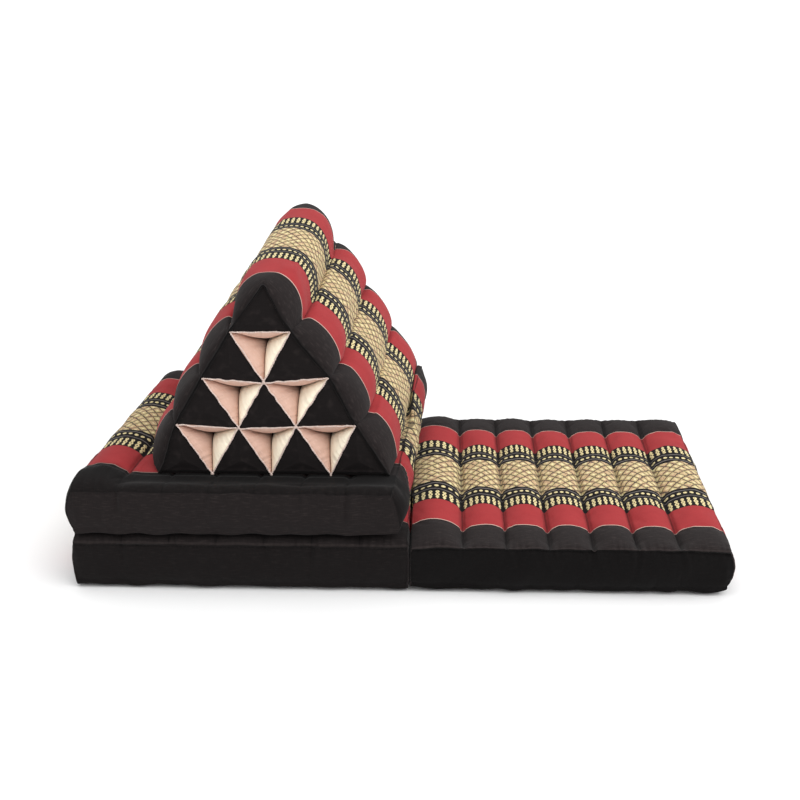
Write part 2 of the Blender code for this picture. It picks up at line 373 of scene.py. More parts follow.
@dataclass(frozen=True)
class BandedCloth:
    """Woven cloth with bands that mirror about its middle; lengths are metres from its front edge."""

    name: str = "banded_cloth"
    black: tuple = shade(33, 28, 28)
    # Lighter streaks of the yarn; also the painted highlight on the edge seam's ridge.
    streak: tuple = shade(56, 49, 48)
    deep: tuple = shade(15, 12, 14)
    # Near-black for painted shade, also used for the dark seams at the cloth's ends and for the topstitch.
    shadow: tuple = shade(4, 3, 3)
    line: tuple = shade(194, 162, 150)
    red: tuple = shade(166, 55, 57)
    red_dark: tuple = shade(142, 40, 44)
    pale: tuple = shade(228, 216, 168)
    gold: tuple = shade(206, 186, 134)
    rose: tuple = shade(194, 156, 124)
    ink: tuple = shade(54, 46, 50)
    grey: tuple = shade(116, 110, 108)
    first_line: float = 0.0656
    line_half: float = 0.00065
    red_end: float = 0.1341
    gold_start: float = 0.1980
    bud_pitch: float = CLOTH_PITCH / 7.0
    bead_offset: float = 0.16
    bell_start: float = 0.0008
    bell_flare: float = 0.40
    bell_half: float = 0.0021
    body: Oval = Oval(0.0158, 0.0029, 0.0050)
    body_eye: Oval = Oval(0.0160, 0.0009, 0.0018)
    head: Oval = Oval(0.0254, 0.0025, 0.0040)
    head_eye: Oval = Oval(0.0268, 0.0006, 0.0013)
    bead: Oval = Oval(0.0468, 0.0028, 0.0031)
    near_rule: tuple = (0.0361, 0.0006, 0.0007)
    far_rule: tuple = (0.0563, 0.0008, 0.0007)
    scale_width: float = CLOTH_PITCH / 4.0
    scale_length: float = 0.0200
    stitch_length: float = 0.0052
    stitch_drop: float = 0.0036
    relief_depth: float = 0.0011

    def yarn(self, paint: Paint, across: Wire, along: Wire) -> Yarn:
        """Noise for the threads: long across the cloth, long along it, and round.

        Args:
            paint: the material's builder.
            across: cloth position along the bands.
            along: cloth position from the front edge.

        Returns:
            The cloth's unevenness.
        """
        spot = paint.vector(across, along, 0.0)
        wide = paint.vector(across * 0.12, along, 0.0)
        tall = paint.vector(across, along * 0.12, 0.0)
        return Yarn(
            weft=paint.noise(wide, 620.0, 3.0), warp=paint.noise(tall, 900.0, 2.0),
            cloudy=paint.noise(spot, 38.0, 3.0), grain=paint.noise(spot, 700.0, 2.0),
            flecks=paint.noise(spot, 95.0, 2.0), uneven=paint.noise(spot, 130.0, 2.0))

    def buds(self, x: Wire, along: Wire) -> Wire:
        """Row of flower buds: a bell from its tip, a neck, a round body with a dark eye and a head.

        Args:
            x: distance from the bud's axis.
            along: distance from the red band.

        Returns:
            1 on the buds.
        """
        flare = ((along - self.bell_start) * self.bell_flare).lowest(self.bell_half)
        bell = (x - flare).ramp(0.00025, -0.00025) * along.band(0.0053, 0.0040, 0.0006)
        necks = along.band(0.0096, 0.0014, 0.0004).highest(along.band(0.0208, 0.0012, 0.0004))
        necks = x.ramp(0.0014, 0.0010) * necks
        eye = self.body_eye.draw(x, along).highest(self.head_eye.draw(x, along) * 0.7)
        whole = bell.highest(self.body.draw(x, along)).highest(self.head.draw(x, along)).highest(necks)
        return whole * (1.0 - eye)

    def motif(self, across: Wire, inside: Wire) -> Wire:
        """Rows of buds and of beads between the red band and the gold one.

        Args:
            across: cloth position along the bands.
            inside: distance from the red band.

        Returns:
            1 on the ornament.
        """
        axis = ((across / self.bud_pitch).fraction() - 0.5).magnitude() * self.bud_pitch
        beside = ((across / self.bud_pitch + self.bead_offset).fraction() - 0.5).magnitude() * self.bud_pitch
        return self.buds(axis, inside).highest(self.bead.draw(beside, inside))

    def scales(self, across: Wire, along: Wire) -> tuple[Wire, Wire]:
        """Net of long lozenges with a finer lozenge inside each one.

        Args:
            across: cloth position along the band.
            along: distance from the cloth's middle.

        Returns:
            The outlines, and how near a place is to a lozenge's edge, from 0 to 0.5.
        """
        first = ((across / self.scale_width + along / self.scale_length).fraction() - 0.5).magnitude()
        second = ((across / self.scale_width - along / self.scale_length).fraction() - 0.5).magnitude()
        edge = first.highest(second)
        crossing = (first + second).ramp(0.62, 0.84)
        inner = edge.band(0.225, 0.014, 0.030) * 0.45
        return edge.ramp(0.350, 0.435).highest(inner).highest(crossing * 0.85), edge

    def net(self, paint: Paint, yarn: Yarn, across: Wire, depth: Wire) -> tuple[bpy.types.NodeSocket, Wire]:
        """Gold middle band: flecked lozenges with inky outlines that wander a little.

        Args:
            paint: the material's builder.
            yarn: the cloth's unevenness.
            across: cloth position along the bands.
            depth: distance from the nearer edge.

        Returns:
            Its colour and the outlines.
        """
        aside = across + (yarn.cloudy - 0.5) * 0.005 + (yarn.uneven - 0.5) * 0.004
        outline, edge = self.scales(aside, PAD_WIDTH / 2.0 - depth + (yarn.uneven - 0.5) * 0.003)
        colour = paint.mix(edge.ramp(0.10, 0.34), self.pale, self.gold)
        colour = paint.mix((yarn.flecks.ramp(0.42, 0.62) * 0.75).lowest(1.0), colour, self.rose)
        strength = outline * (0.15 + yarn.grain * 0.45 + yarn.uneven * 0.90)
        colour = paint.mix(strength.lowest(0.92), colour, self.ink)
        return paint.mix(yarn.weft.ramp(0.55, 0.75) * 0.28, colour, self.ink), outline

    def sewing(
        self, paint: Paint, colour: bpy.types.NodeSocket, spot: Sequence[Wire]
    ) -> bpy.types.NodeSocket:
        """Paint shade along the sewn lines, darken the cloth's ends, add the edge's topstitch and paint a
        highlight on the edge's ridge.

        Args:
            paint: the material's builder.
            colour: the cloth's colour.
            spot: position along the bands, distance from the nearer edge and from a stitched line.

        Returns:
            The new colour.
        """
        across, depth, stitched = spot
        # Painted shade: a soft band beside each sewn line and a narrow dark line in it.
        lines = stitched.ramp(0.0070, 0.0003) * 0.16 + stitched.ramp(0.0011, 0.0004) * 0.44
        colour = paint.mix(lines, colour, self.shadow)
        ends = across.band(CLOTH_PITCH * 7.0, 0.0005, 0.0008).highest(across.band(0.0, 0.0005, 0.0008))
        colour = paint.mix(ends * 0.65, colour, self.shadow)
        run = (across / self.stitch_length).fraction()
        topstitch = depth.band(-self.stitch_drop, 0.0003, 0.0004) * run.ramp(0.30, 0.36)
        colour = paint.mix(topstitch * 0.8, colour, self.shadow)
        # Painted highlight along the raised ridge of the edge seam.
        ridge_highlight = depth.band(0.0, 0.0007, 0.0007)
        return paint.mix(ridge_highlight * 0.45, colour, self.streak)

    def build(self) -> bpy.types.Material:
        """Make the material from the mesh's cloth attribute and its tone attribute of painted shade.

        Returns:
            The material.
        """
        paint = Paint(self.name)
        across, along, seam = paint.attribute("cloth")
        tone, _, _ = paint.attribute("tone")
        depth = along.lowest(PAD_WIDTH - along)
        inside = depth - self.red_end
        yarn = self.yarn(paint, across, along)
        threads = yarn.weft.ramp(0.50, 0.74) * 0.62 + yarn.warp.ramp(0.5, 0.8) * 0.22
        colour = paint.mix(threads, self.black, self.streak)
        warm = paint.mix(yarn.cloudy * 0.7 + yarn.weft * 0.4 - 0.05, self.red_dark, self.red)
        red_mask = depth.ramp(self.first_line - 0.0001, self.first_line + 0.0001)
        red_mask = red_mask * depth.ramp(self.red_end + 0.0002, self.red_end - 0.0002)
        colour = paint.mix(red_mask, colour, warm)
        colour = paint.mix(depth.band(self.first_line, self.line_half, 0.0003), colour, self.line)
        motif = self.motif(across, inside)
        colour = paint.mix(inside.ramp(0.0, 0.0006), colour, self.deep)
        woven = paint.mix(yarn.grain.ramp(0.35, 0.65), self.gold, self.pale)
        colour = paint.mix(motif * (0.72 + yarn.grain.ramp(0.30, 0.46) * 0.28), colour, woven)
        rules = inside.band(*self.near_rule).highest(inside.band(*self.far_rule))
        colour = paint.mix(rules * (0.62 + yarn.warp * 0.5), colour, self.grey)
        gold_mask = depth.ramp(self.gold_start - 0.0002, self.gold_start + 0.0002)
        golden, outline = self.net(paint, yarn, across, depth)
        colour = paint.mix(gold_mask, colour, golden)
        colour = self.sewing(paint, colour, (across, depth, seam.magnitude()))
        # Painted shade: the tone attribute darkens the colour towards near-black.
        colour = paint.mix(1.0 - tone, colour, self.shadow)
        drawn = paint.vector(across, along * 0.05, 0.0)
        near_edge = depth.magnitude().ramp(0.026, 0.001) * depth.ramp(-0.05, -0.001)
        puckers = paint.noise(drawn, 150.0, 1.0) * near_edge
        raised = motif * 0.12 + gold_mask * (1.0 - outline) * 0.14
        relief = (yarn.weft + yarn.warp) * 0.15 + raised + puckers * 1.5
        roughness = 0.88 - gold_mask * 0.10 - red_mask * 0.04
        return paint.finish(colour, roughness, relief, self.relief_depth)


@dataclass(frozen=True)
class PlainCloth:
    """One-colour woven cloth with slubs along its length."""

    name: str
    colour: tuple
    streak: tuple
    shadow: tuple = shade(6, 4, 4)
    roughness: float = 0.88
    crumple: float = 3.5
    relief_depth: float = 0.0012

    def build(self) -> bpy.types.Material:
        """Make the material from the mesh's cloth attribute and its tone attribute of painted shade.

        Returns:
            The material.
        """
        paint = Paint(self.name)
        across, along, _ = paint.attribute("cloth")
        tone, _, _ = paint.attribute("tone")
        wide = paint.vector(across * 0.15, along, 0.0)
        slubs = paint.noise(wide, 800.0, 3.0).ramp(0.5, 0.8)
        cloudy = paint.noise(paint.vector(across, along, 0.0), 60.0, 2.0)
        colour = paint.mix(slubs * 0.4 + cloudy * 0.5 - 0.1, self.colour, self.streak)
        # Painted shade: the tone attribute darkens the colour towards near-black.
        colour = paint.mix(1.0 - tone, colour, self.shadow)
        folds = paint.noise(paint.vector(across + along * 0.6, (along - across) * 0.15, 0.0), 110.0, 2.0)
        weave = paint.noise(wide, 1500.0, 2.0) * 0.25 + folds * self.crumple
        return paint.finish(colour, self.roughness, weave, self.relief_depth)


@dataclass(frozen=True)
class Thread:
    """Twisted sewing thread."""

    name: str
    colour: tuple
    dark: float = 0.6
    roughness: float = 0.7
    relief_depth: float = 0.0003

    def build(self) -> bpy.types.Material:
        """Make the material from object coordinates.

        Returns:
            The material.
        """
        paint = Paint(self.name)
        place = paint.node("ShaderNodeTexCoord", {}, {}).outputs["Object"]
        twist = paint.noise(place, 1800.0, 1.0)
        darker = tuple(self.dark * part for part in self.colour[:3]) + (1.0,)
        colour = paint.mix(twist * 0.5, self.colour, darker)
        return paint.finish(colour, self.roughness, twist, self.relief_depth)


@dataclass
class Surface:
    """A mesh in the making.

    It has points, faces of four, the cloth of each face, and for each point its place on the cloth
    with the distance from a stitched line, the tone of its walls, which is painted shade, the relief
    that sewing gives it and how firmly the sewing or a neighbour holds it.
    """

    points: Array
    quads: Array
    cloths: Array
    weave: Array
    relief: Array
    hold: Array
    tone: Array

    def to_object(self, name: str, finishes: Sequence[bpy.types.Material]) -> bpy.types.Object:
        """Put the arrays into a new object at the origin, and weld what meets.

        Args:
            name: the piece's name.
            finishes: materials in the order of the Cloth numbers.

        Returns:
            The object, linked to the scene.
        """
        mesh = bpy.data.meshes.new(name)
        placed = self.points + ORIGIN_SHIFT
        closed = [tuple(dict.fromkeys(face)) for face in self.quads.tolist()]
        kept = [index for index, face in enumerate(closed) if len(face) > 2]
        mesh.from_pydata(placed.tolist(), [], [closed[index] for index in kept])
        for finish in finishes:
            mesh.materials.append(finish)
        mesh.polygons.foreach_set("material_index", self.cloths[kept].astype(np.int32))
        mesh.polygons.foreach_set("use_smooth", np.ones(len(kept), dtype=bool))
        weave = mesh.attributes.new("cloth", "FLOAT_VECTOR", "POINT")
        weave.data.foreach_set("vector", self.weave.astype(np.float32).ravel())
        for label, values in (("relief", self.relief), ("hold", self.hold), ("tone", self.tone)):
            layer = mesh.attributes.new(label, "FLOAT", "POINT")
            layer.data.foreach_set("value", values.astype(np.float32))
        skin = bmesh.new()
        skin.from_mesh(mesh)
        loose = [vert for vert in skin.verts if not vert.link_faces]
        bmesh.ops.delete(skin, geom=loose, context="VERTS")
        bmesh.ops.remove_doubles(skin, verts=skin.verts, dist=1e-6)
        skin.to_mesh(mesh)
        skin.free()
        piece = bpy.data.objects.new(name, mesh)
        bpy.context.scene.collection.objects.link(piece)
        return piece


def positions(mesh: bpy.types.Mesh) -> Array:
    """Places of a mesh's points, one row each."""
    flat = np.zeros(len(mesh.vertices) * 3)
    mesh.vertices.foreach_get("co", flat)
    return flat.reshape(-1, 3)


@dataclass
class Stuffing:
    """Pressure of the filling: cloth simulation on every stuffed piece at once."""

    frames: int = 20
    pressure: float = 4.0
    spare_cloth: float = 0.004
    cap: float = 0.0025
    stretch: float = 15.0
    shear: float = 5.0
    bending: float = 0.5
    mass: float = 0.3
    quality: int = 3

    def hold(self, piece: bpy.types.Object) -> None:
        """Pin a piece where it is sewn or lies on another, and give it a cloth modifier.

        Args:
            piece: a stuffed piece.
        """
        mesh = piece.data
        held = np.zeros(len(mesh.vertices))
        mesh.attributes["hold"].data.foreach_get("value", held)
        group = piece.vertex_groups.new(name="held")
        for weight in (0.25, 0.5, 0.75, 1.0):
            chosen = np.flatnonzero(np.abs(held - weight) <= 0.125)
            group.add(chosen.tolist(), weight, "REPLACE")
        cloth = piece.modifiers.new("stuffing", "CLOTH")
        settings = cloth.settings
        settings.quality = self.quality
        settings.mass = self.mass
        settings.tension_stiffness = self.stretch
        settings.compression_stiffness = self.stretch
        settings.shear_stiffness = self.shear
        settings.bending_stiffness = self.bending
        settings.use_pressure = True
        settings.uniform_pressure_force = self.pressure
        settings.vertex_group_mass = "held"
        settings.shrink_min = -self.spare_cloth
        settings.effector_weights.gravity = 0.0
        cloth.collision_settings.use_collision = False
        cloth.point_cache.frame_start = 1
        cloth.point_cache.frame_end = self.frames

    def settle(self, pieces: Sequence[bpy.types.Object]) -> None:
        """Run the simulation, keep at most the cap of each point's move and drop the modifiers.

        Args:
            pieces: every stuffed piece.
        """
        for piece in pieces:
            self.hold(piece)
        scene = bpy.context.scene
        for moment in range(1, self.frames + 1):
            scene.frame_set(moment)
        graph = bpy.context.evaluated_depsgraph_get()
        for piece in pieces:
            start = positions(piece.data)
            moved = positions(piece.evaluated_get(graph).data) - start
            length = np.linalg.norm(moved, axis=1, keepdims=True)
            kept = moved * np.tanh(length / self.cap) * self.cap / np.maximum(length, 1e-9)
            piece.modifiers.remove(piece.modifiers["stuffing"])
            piece.vertex_groups.clear()
            piece.data.vertices.foreach_set("co", (start + kept).ravel())
            average = 1000.0 * np.linalg.norm(kept, axis=1).mean()
            LOG.info("%s: cloth moved %.1f mm on average", piece.name, average)
        scene.frame_set(1)


def emboss(piece: bpy.types.Object) -> None:
    """Press the sewing's relief into a piece along its normals, and add one subdivision.

    Args:
        piece: a stuffed piece that still carries its relief.
    """
    mesh = piece.data
    mesh.update()
    relief = np.zeros(len(mesh.vertices))
    mesh.attributes["relief"].data.foreach_get("value", relief)
    normals = np.zeros(len(mesh.vertices) * 3)
    mesh.vertex_normals.foreach_get("vector", normals)
    mesh.vertices.foreach_set("co", (positions(mesh) + relief[:, None] * normals.reshape(-1, 3)).ravel())
    mesh.attributes.remove(mesh.attributes["relief"])
    mesh.attributes.remove(mesh.attributes["hold"])
    mesh.update()
    smoother = piece.modifiers.new("subdivision", "SUBSURF")
    smoother.levels = 1
    smoother.render_levels = 1


def dress(piece: bpy.types.Object, node: Optional[str]) -> None:
    """Attach a piece to the root body, hide the CAD part that it replaces and log its faces.

    Args:
        piece: the finished piece.
        node: CAD node that the piece replaces, if any.
    """
    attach(piece, "root")
    if node is not None:
        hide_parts(node)
    LOG.info("%s: %d faces", piece.name, len(piece.data.polygons))


def box_skin(counts: tuple[int, int, int]) -> tuple[Array, Array, Array]:
    """Skin of a box of cells: every lattice point on its six sides once, and the faces outwards.

    Args:
        counts: cells along the three axes.

    Returns:
        Lattice points as rows of three integers, faces as rows of four, and each face's side from
        0 to 5: low and high along the first, second and third axis.
    """
    strides = np.array(((counts[1] + 1) * (counts[2] + 1), counts[2] + 1, 1))
    quads = []
    sides = []
    for axis in range(3):
        others = [(axis + 1) % 3, (axis + 2) % 3]
        first, second = np.meshgrid(np.arange(counts[others[0]]), np.arange(counts[others[1]]), indexing="ij")
        next_first, next_second = strides[others]
        for high in (0, 1):
            base = high * counts[axis] * strides[axis] + first * next_first + second * next_second
            ring = (base, base + next_first, base + next_first + next_second, base + next_second)
            corners = np.stack(ring, axis=-1).reshape(-1, 4)
            quads.append(corners if high else corners[:, ::-1])
            sides.append(np.full(len(corners), axis * 2 + high))
    stacked = np.concatenate(quads)
    used, index = np.unique(stacked, return_inverse=True)
    second = used // strides[1] % (counts[1] + 1)
    lattice = np.stack((used // strides[0], second, used % (counts[2] + 1)), axis=1)
    return lattice, index.reshape(-1, 4), np.concatenate(sides)


@dataclass
class Pad:
    """One stuffed pad of the mat: channels along Y, box walls at the ends and round side walls.

    Lengths are metres. Pairs are for the left and right end, and tones are painted shade, running
    from 0, black, to 1, the cloth's own colour.
    """

    name: str
    node: str
    spread: tuple[float, float, float, float]
    floor: float
    crest: float
    crest_extra: tuple[float, ...] = (0.0,) * 7
    seam_top: float = 0.0714
    seam_base: tuple[float, ...] = (0.0065,) * 8
    shear: tuple[float, float] = (0.0, 0.0)
    walls: tuple[float, float] = (0.0, 0.0)
    top_inset: float = 0.0
    base_lift: float = 0.0
    corner_rise: float = 0.0
    wall_fade: float = 0.0
    # Painted shade: on the end walls, and on the top, first on the strip behind the front edge and then on
    # the rest.
    painted_wall_shade: float = 1.0
    painted_top_shade: tuple[float, float] = (1.0, 1.0)
    lip: float = 1.0
    pressed_front: float = 0.0
    front_corner: float = 0.0
    # How much the painted shade on the strip behind the front edge grows darker from the edge backwards.
    front_shade: float = 0.0
    hidden_seam: float = 0.0
    corner_slack: float = 0.0
    seed: int = 1
    channels: int = 7
    sink: float = 0.0123
    base_sink: float = 0.0060
    roll_depth: float = 0.048
    shoulder: float = 0.0090
    shoulder_drop: float = 0.0030
    front_bulge: float = 0.0060
    wall_at_corner: tuple[float, float] = (0.52, 0.52)
    softness: float = 0.0012
    wave: float = 0.0012
    pressed_strip: tuple[float, float] = (0.075, 0.030)
    groove: tuple[float, float] = (0.0030, 0.0024)
    gather_reach: float = 0.011
    lip_rise: tuple[float, float] = (0.0013, 0.0013)
    lip_sink: tuple[float, float, float] = (0.0024, 0.0036, 0.0017)
    crease_depth: float = 0.0026
    # Painted shadow on the top where something stands on the pad.
    painted_covered_shadow: float = 0.05

    @property
    def length(self) -> float:
        """Length of the cloth along the channels' row."""
        return self.channels * CLOTH_PITCH

    def kept_channel(self, v: Array) -> Array:
        """How much of the sewn channels is left where the front is pressed flat."""
        return 1.0 - self.pressed_front * smooth(*self.pressed_strip, v * PAD_WIDTH)

    def ceiling(self, x: Array, y: Array) -> Optional[Array]:
        """Height that what lies on the pad leaves to it; the open pad has none."""
        return None

    def across(self, u: Array) -> tuple[Array, Array, Array]:
        """Channel of each point, 0 at its crest rising to 1 at its sewn lines, and the end halves.

        Args:
            u: place along the pad from 0 to 1.

        Returns:
            Channel number, |2 t - 1|^2.2 for t across the channel, and whether the point is in the
            outer half of an end channel.
        """
        place = np.clip(u * self.channels, 0.0, self.channels)
        index = np.minimum(np.floor(place + 1e-9), self.channels - 1).astype(int)
        offset = 2.0 * (place - index) - 1.0
        outer = ((index == 0) & (offset < 0.0)) | ((index == self.channels - 1) & (offset > 0.0))
        return index, np.abs(offset) ** 2.2, outer

    def heights(self, u: Array, v: Array) -> tuple[Array, Array]:
        """Heights of the upper and lower cloth: arcs between sewn lines, rounded over at the seams.

        Args:
            u: place along the pad from 0 to 1.
            v: place from front to back from 0 to 1.

        Returns:
            Both heights at each place.
        """
        index, sink, outer = self.across(u)
        sink = sink * self.kept_channel(v)
        crests = self.crest + np.array(self.crest_extra)
        roll = rounded(np.minimum(v, 1.0 - v) * PAD_WIDTH / self.roll_depth)
        crest = crests[index]
        top = crest - sink * np.where(outer, self.shoulder, crest - np.median(crests) + self.sink)
        curl = np.clip((sink - 0.25) / 0.75, 0.0, None)
        base = self.floor + curl * np.where(outer, self.shoulder, self.base_sink)
        base = base + self.base_lift * smooth(0.80, 1.0, u)
        edge = np.interp(u * self.channels, np.arange(self.channels + 1), self.seam_base)
        edge = edge - self.front_corner * smooth(0.78, 0.98, u) * (v < 0.5)
        edge = edge + self.wave * ripples(u * self.length, self.seed + 70, 6, 0.14, 0.035)
        drop = self.shoulder_drop * np.where(outer, sink, 0.0)
        seam = self.seam_top - drop
        seam = seam + 0.6 * self.wave * ripples(u * self.length, self.seed + 80, 6, 0.16, 0.04)
        top = seam + roll * (top - seam)
        base = edge + drop + roll * (base - edge - drop)
        top = top + self.corner_rise * smooth(0.910, 0.985, u) * smooth(0.25, 0.85, v)
        return top, base

    def place(self, unit: Array) -> Array:
        """Carry points of the unit box onto the pad.

        Args:
            unit: rows of u along the pad, v from front to back and w from floor to top.

        Returns:
            Positions in metres.
        """
        u, v, w = unit.T
        top, base = self.heights(u, v)
        left, first, pitch, right = self.spread
        lines = np.concatenate(([left], first + pitch * np.arange(self.channels - 1), [right]))
        y = v * PAD_WIDTH
        x = np.interp(u * self.channels, np.arange(self.channels + 1), lines)
        x = x + y * (self.shear[0] + (self.shear[1] - self.shear[0]) * u)
        swell = np.sin(np.pi * w)
        corner = np.where(u < 0.5, self.wall_at_corner[0], self.wall_at_corner[1])
        wall = corner + (1.0 - corner) * rounded(np.minimum(v, 1.0 - v) * PAD_WIDTH / self.roll_depth)
        x = x - self.walls[0] * swell * wall * (u == 0.0)
        x = x + self.walls[1] * (1.0 - self.wall_fade * v) * swell * wall * (u == 1.0)
        x = x - self.top_inset * w * smooth(0.93, 1.0, u) * (1.0 - v)
        corner = np.sin(np.pi * np.clip(u, 0.0, 1.0)) ** 0.4
        y = y - self.front_bulge * swell * corner * (v == 0.0)
        y = y + self.front_bulge * swell * corner * (v == 1.0)
        limit = self.ceiling(x, y)
        if limit is not None:
            excess = np.clip((top - limit) / self.softness, -60.0, 60.0)
            top = top - self.softness * np.log1p(np.exp(excess))
        return np.stack((x, y, base + (top - base) * w), axis=1)

    def cloth_line(self, unit: Array, down: Array) -> Array:
        """Cloth position from the front edge, with the slack of the front right corner.

        On a pad whose front seam doesn't show, the cloth is drawn over the edge as far as the
        hidden seam.

        Args:
            unit: points in the unit box.
            down: distance below the upper cloth.

        Returns:
            The position of each point, negative on the front wall.
        """
        u, v, w = unit.T
        along = v * PAD_WIDTH - down * (v == 0.0) + down * (v == 1.0)
        near_end = smooth(0.84, 0.93, u)
        near_front = smooth(0.50, 0.15, v) * smooth(0.0, 0.10, v)
        along = along - self.corner_slack * near_end * near_front * smooth(0.50, 1.05, w)
        drawn = smooth(self.hidden_seam + 0.0080, self.hidden_seam - 0.0005, along)
        return along - self.hidden_seam * drawn

    def lattice(self) -> tuple[Array, Array, Array]:
        """Unit-box points, faces and sides, with rows drawn close together at every seam.

        Returns:
            Points of the unit box, faces and each face's side.
        """
        inside = np.linspace(0.0, 1.0, 29)
        inside = 0.35 * (0.5 - 0.5 * np.cos(inside * np.pi)) + 0.65 * inside
        rows = [(channel + inside[:-1]) / self.channels for channel in range(self.channels)]
        across = np.concatenate(rows + [np.ones(1)])
        near = 0.060 * (1.0 - np.cos(np.linspace(0.0, 1.0, 17) * np.pi / 2.0)) / PAD_WIDTH
        far = np.linspace(0.070 / PAD_WIDTH, 0.5, 21)
        half = np.concatenate((near, np.array((0.0625, 0.0660)) / PAD_WIDTH, far))
        along = np.concatenate((half, 1.0 - half[-2::-1]))
        edge = np.array((0.0, 0.015, 0.032, 0.050, 0.070, 0.095, 0.13, 0.18, 0.24, 0.31, 0.40, 0.5))
        up = np.concatenate((edge, 1.0 - edge[-2::-1]))
        points, quads, sides = box_skin((len(across) - 1, len(along) - 1, len(up) - 1))
        unit = np.stack((across[points[:, 0]], along[points[:, 1]], up[points[:, 2]]), axis=1)
        return unit, quads, sides

    def surface(self) -> Surface:
        """Skin of the pad, with the cloth's own positions carried over the seams.

        Returns:
            The pad's skin.
        """
        unit, quads, sides = self.lattice()
        points = self.place(unit)
        u, v, w = unit.T
        top = self.place(np.stack((u, v, np.ones_like(w)), axis=1))
        down = top[:, 2] - points[:, 2]
        across = u * self.length + down * (u == 1.0) - down * (u == 0.0)
        along = self.cloth_line(unit, down)
        nearest = np.clip(np.round(u * self.channels), 1, self.channels - 1)
        seam = np.abs(u * self.channels - nearest) * CLOTH_PITCH
        sewn = np.where((w == 1.0) | (w == 0.0), seam, FAR)
        limit = self.ceiling(points[:, 0], points[:, 1])
        pressed = np.zeros(len(u), dtype=bool)
        if limit is not None:
            pressed = (w == 1.0) & (points[:, 2] >= limit - 0.0008)
        relief = np.where(pressed | (w == 0.0), 0.0, self.relief(points, unit, seam, down))
        rims = sum(((axis == 0.0) | (axis == 1.0)).astype(int) for axis in (u, v, w))
        hold = np.where((rims > 1) | (w == 0.0) | pressed | ((w == 1.0) & (seam < 0.0008)), 1.0, 0.0)
        weave = np.stack((across, along, sewn), axis=1)
        cloths = np.where(sides == 4, Cloth.PLAIN.value, Cloth.BANDED.value)
        return Surface(points, quads, cloths, weave, relief, hold, self.tone(points, unit))

    def tone(self, points: Array, unit: Array) -> Array:
        """Painted shade on the cloth: end walls, the strip behind the front edge, and a painted shadow where
        covered.

        Args:
            points: places of the skin.
            unit: the same points in the unit box.

        Returns:
            The tone of each point.
        """
        _, v, w = unit.T
        dim, bright = self.painted_top_shade
        dim = dim * (1.0 + self.front_shade * (0.9 - 1.4 * smooth(0.0, 0.045, v * PAD_WIDTH)))
        tone = dim + (bright - dim) * smooth(0.060, 0.072, v * PAD_WIDTH)
        # Painted shade on the end walls, and a painted shadow under what covers the top.
        tone = np.where(((v == 0.0) | (v == 1.0)) & (w < 1.0), self.painted_wall_shade, tone)
        return np.where(self.covered(points[:, 0], points[:, 1]) & (w == 1.0), self.painted_covered_shadow, tone)

    def covered(self, x: Array, y: Array) -> Array:
        """Whether something stands on the pad there."""
        return np.zeros(len(x), dtype=bool)

    def relief(self, points: Array, unit: Array, seam: Array, down: Array) -> Array:
        """What the sewing does to the skin: grooves, puckers, edge seams, creases and lumps.

        Args:
            points: places of the skin.
            unit: the same points in the unit box.
            seam: distance from the nearest inner sewn line.
            down: distance below the upper cloth.

        Returns:
            Height of the relief along the normals.
        """
        u, v, w = unit.T
        from_edge = np.minimum(v, 1.0 - v) * PAD_WIDTH
        on_top = w == 1.0
        ends = (v == 0.0) | (v == 1.0)
        side = ((u == 0.0) | (u == 1.0)) & ~on_top & ~ends
        relief = np.where(on_top, self.top_relief(points, v, seam), 0.0)
        relief = np.where(ends & ~on_top, self.end_relief(points, u, down), relief)
        relief = np.where(side, self.side_relief(points, down), relief)
        from_corner = np.where(side, from_edge, FAR)
        from_corner = np.where(ends, np.minimum(u, 1.0 - u) * self.length, from_corner)
        pulls = 0.0009 * np.sin(2.0 * np.pi * down / 0.0085 + self.seed) * np.exp(-from_corner / 0.006)
        return relief + np.where(on_top, 0.0, pulls - 0.0012 * np.exp(-((from_corner / 0.0016) ** 2.0)))

    def top_relief(self, points: Array, v: Array, seam: Array) -> Array:
        """Upper cloth: grooves along the sewn lines, gathers at the edges and slow lumps.

        Args:
            points: places of the skin.
            v: place from front to back from 0 to 1.
            seam: distance from the nearest inner sewn line.

        Returns:
            Height of the relief along the normals.
        """
        from_edge = np.minimum(v, 1.0 - v) * PAD_WIDTH
        depth, width = self.groove
        groove = depth * np.exp(-((seam / width) ** 2.0)) * self.kept_channel(v)
        groove = groove * (0.45 + 0.55 * smooth(0.0, 0.03, from_edge))
        gathers = ripples(points[:, 0], self.seed, 9, 0.017, 0.0075) * np.exp(-from_edge / self.gather_reach)
        gathers = gathers * np.where(v < 0.5, 0.0011, 0.0004)
        return gathers - groove + 0.0014 * lumps(points, self.seed + 20, 0.13)

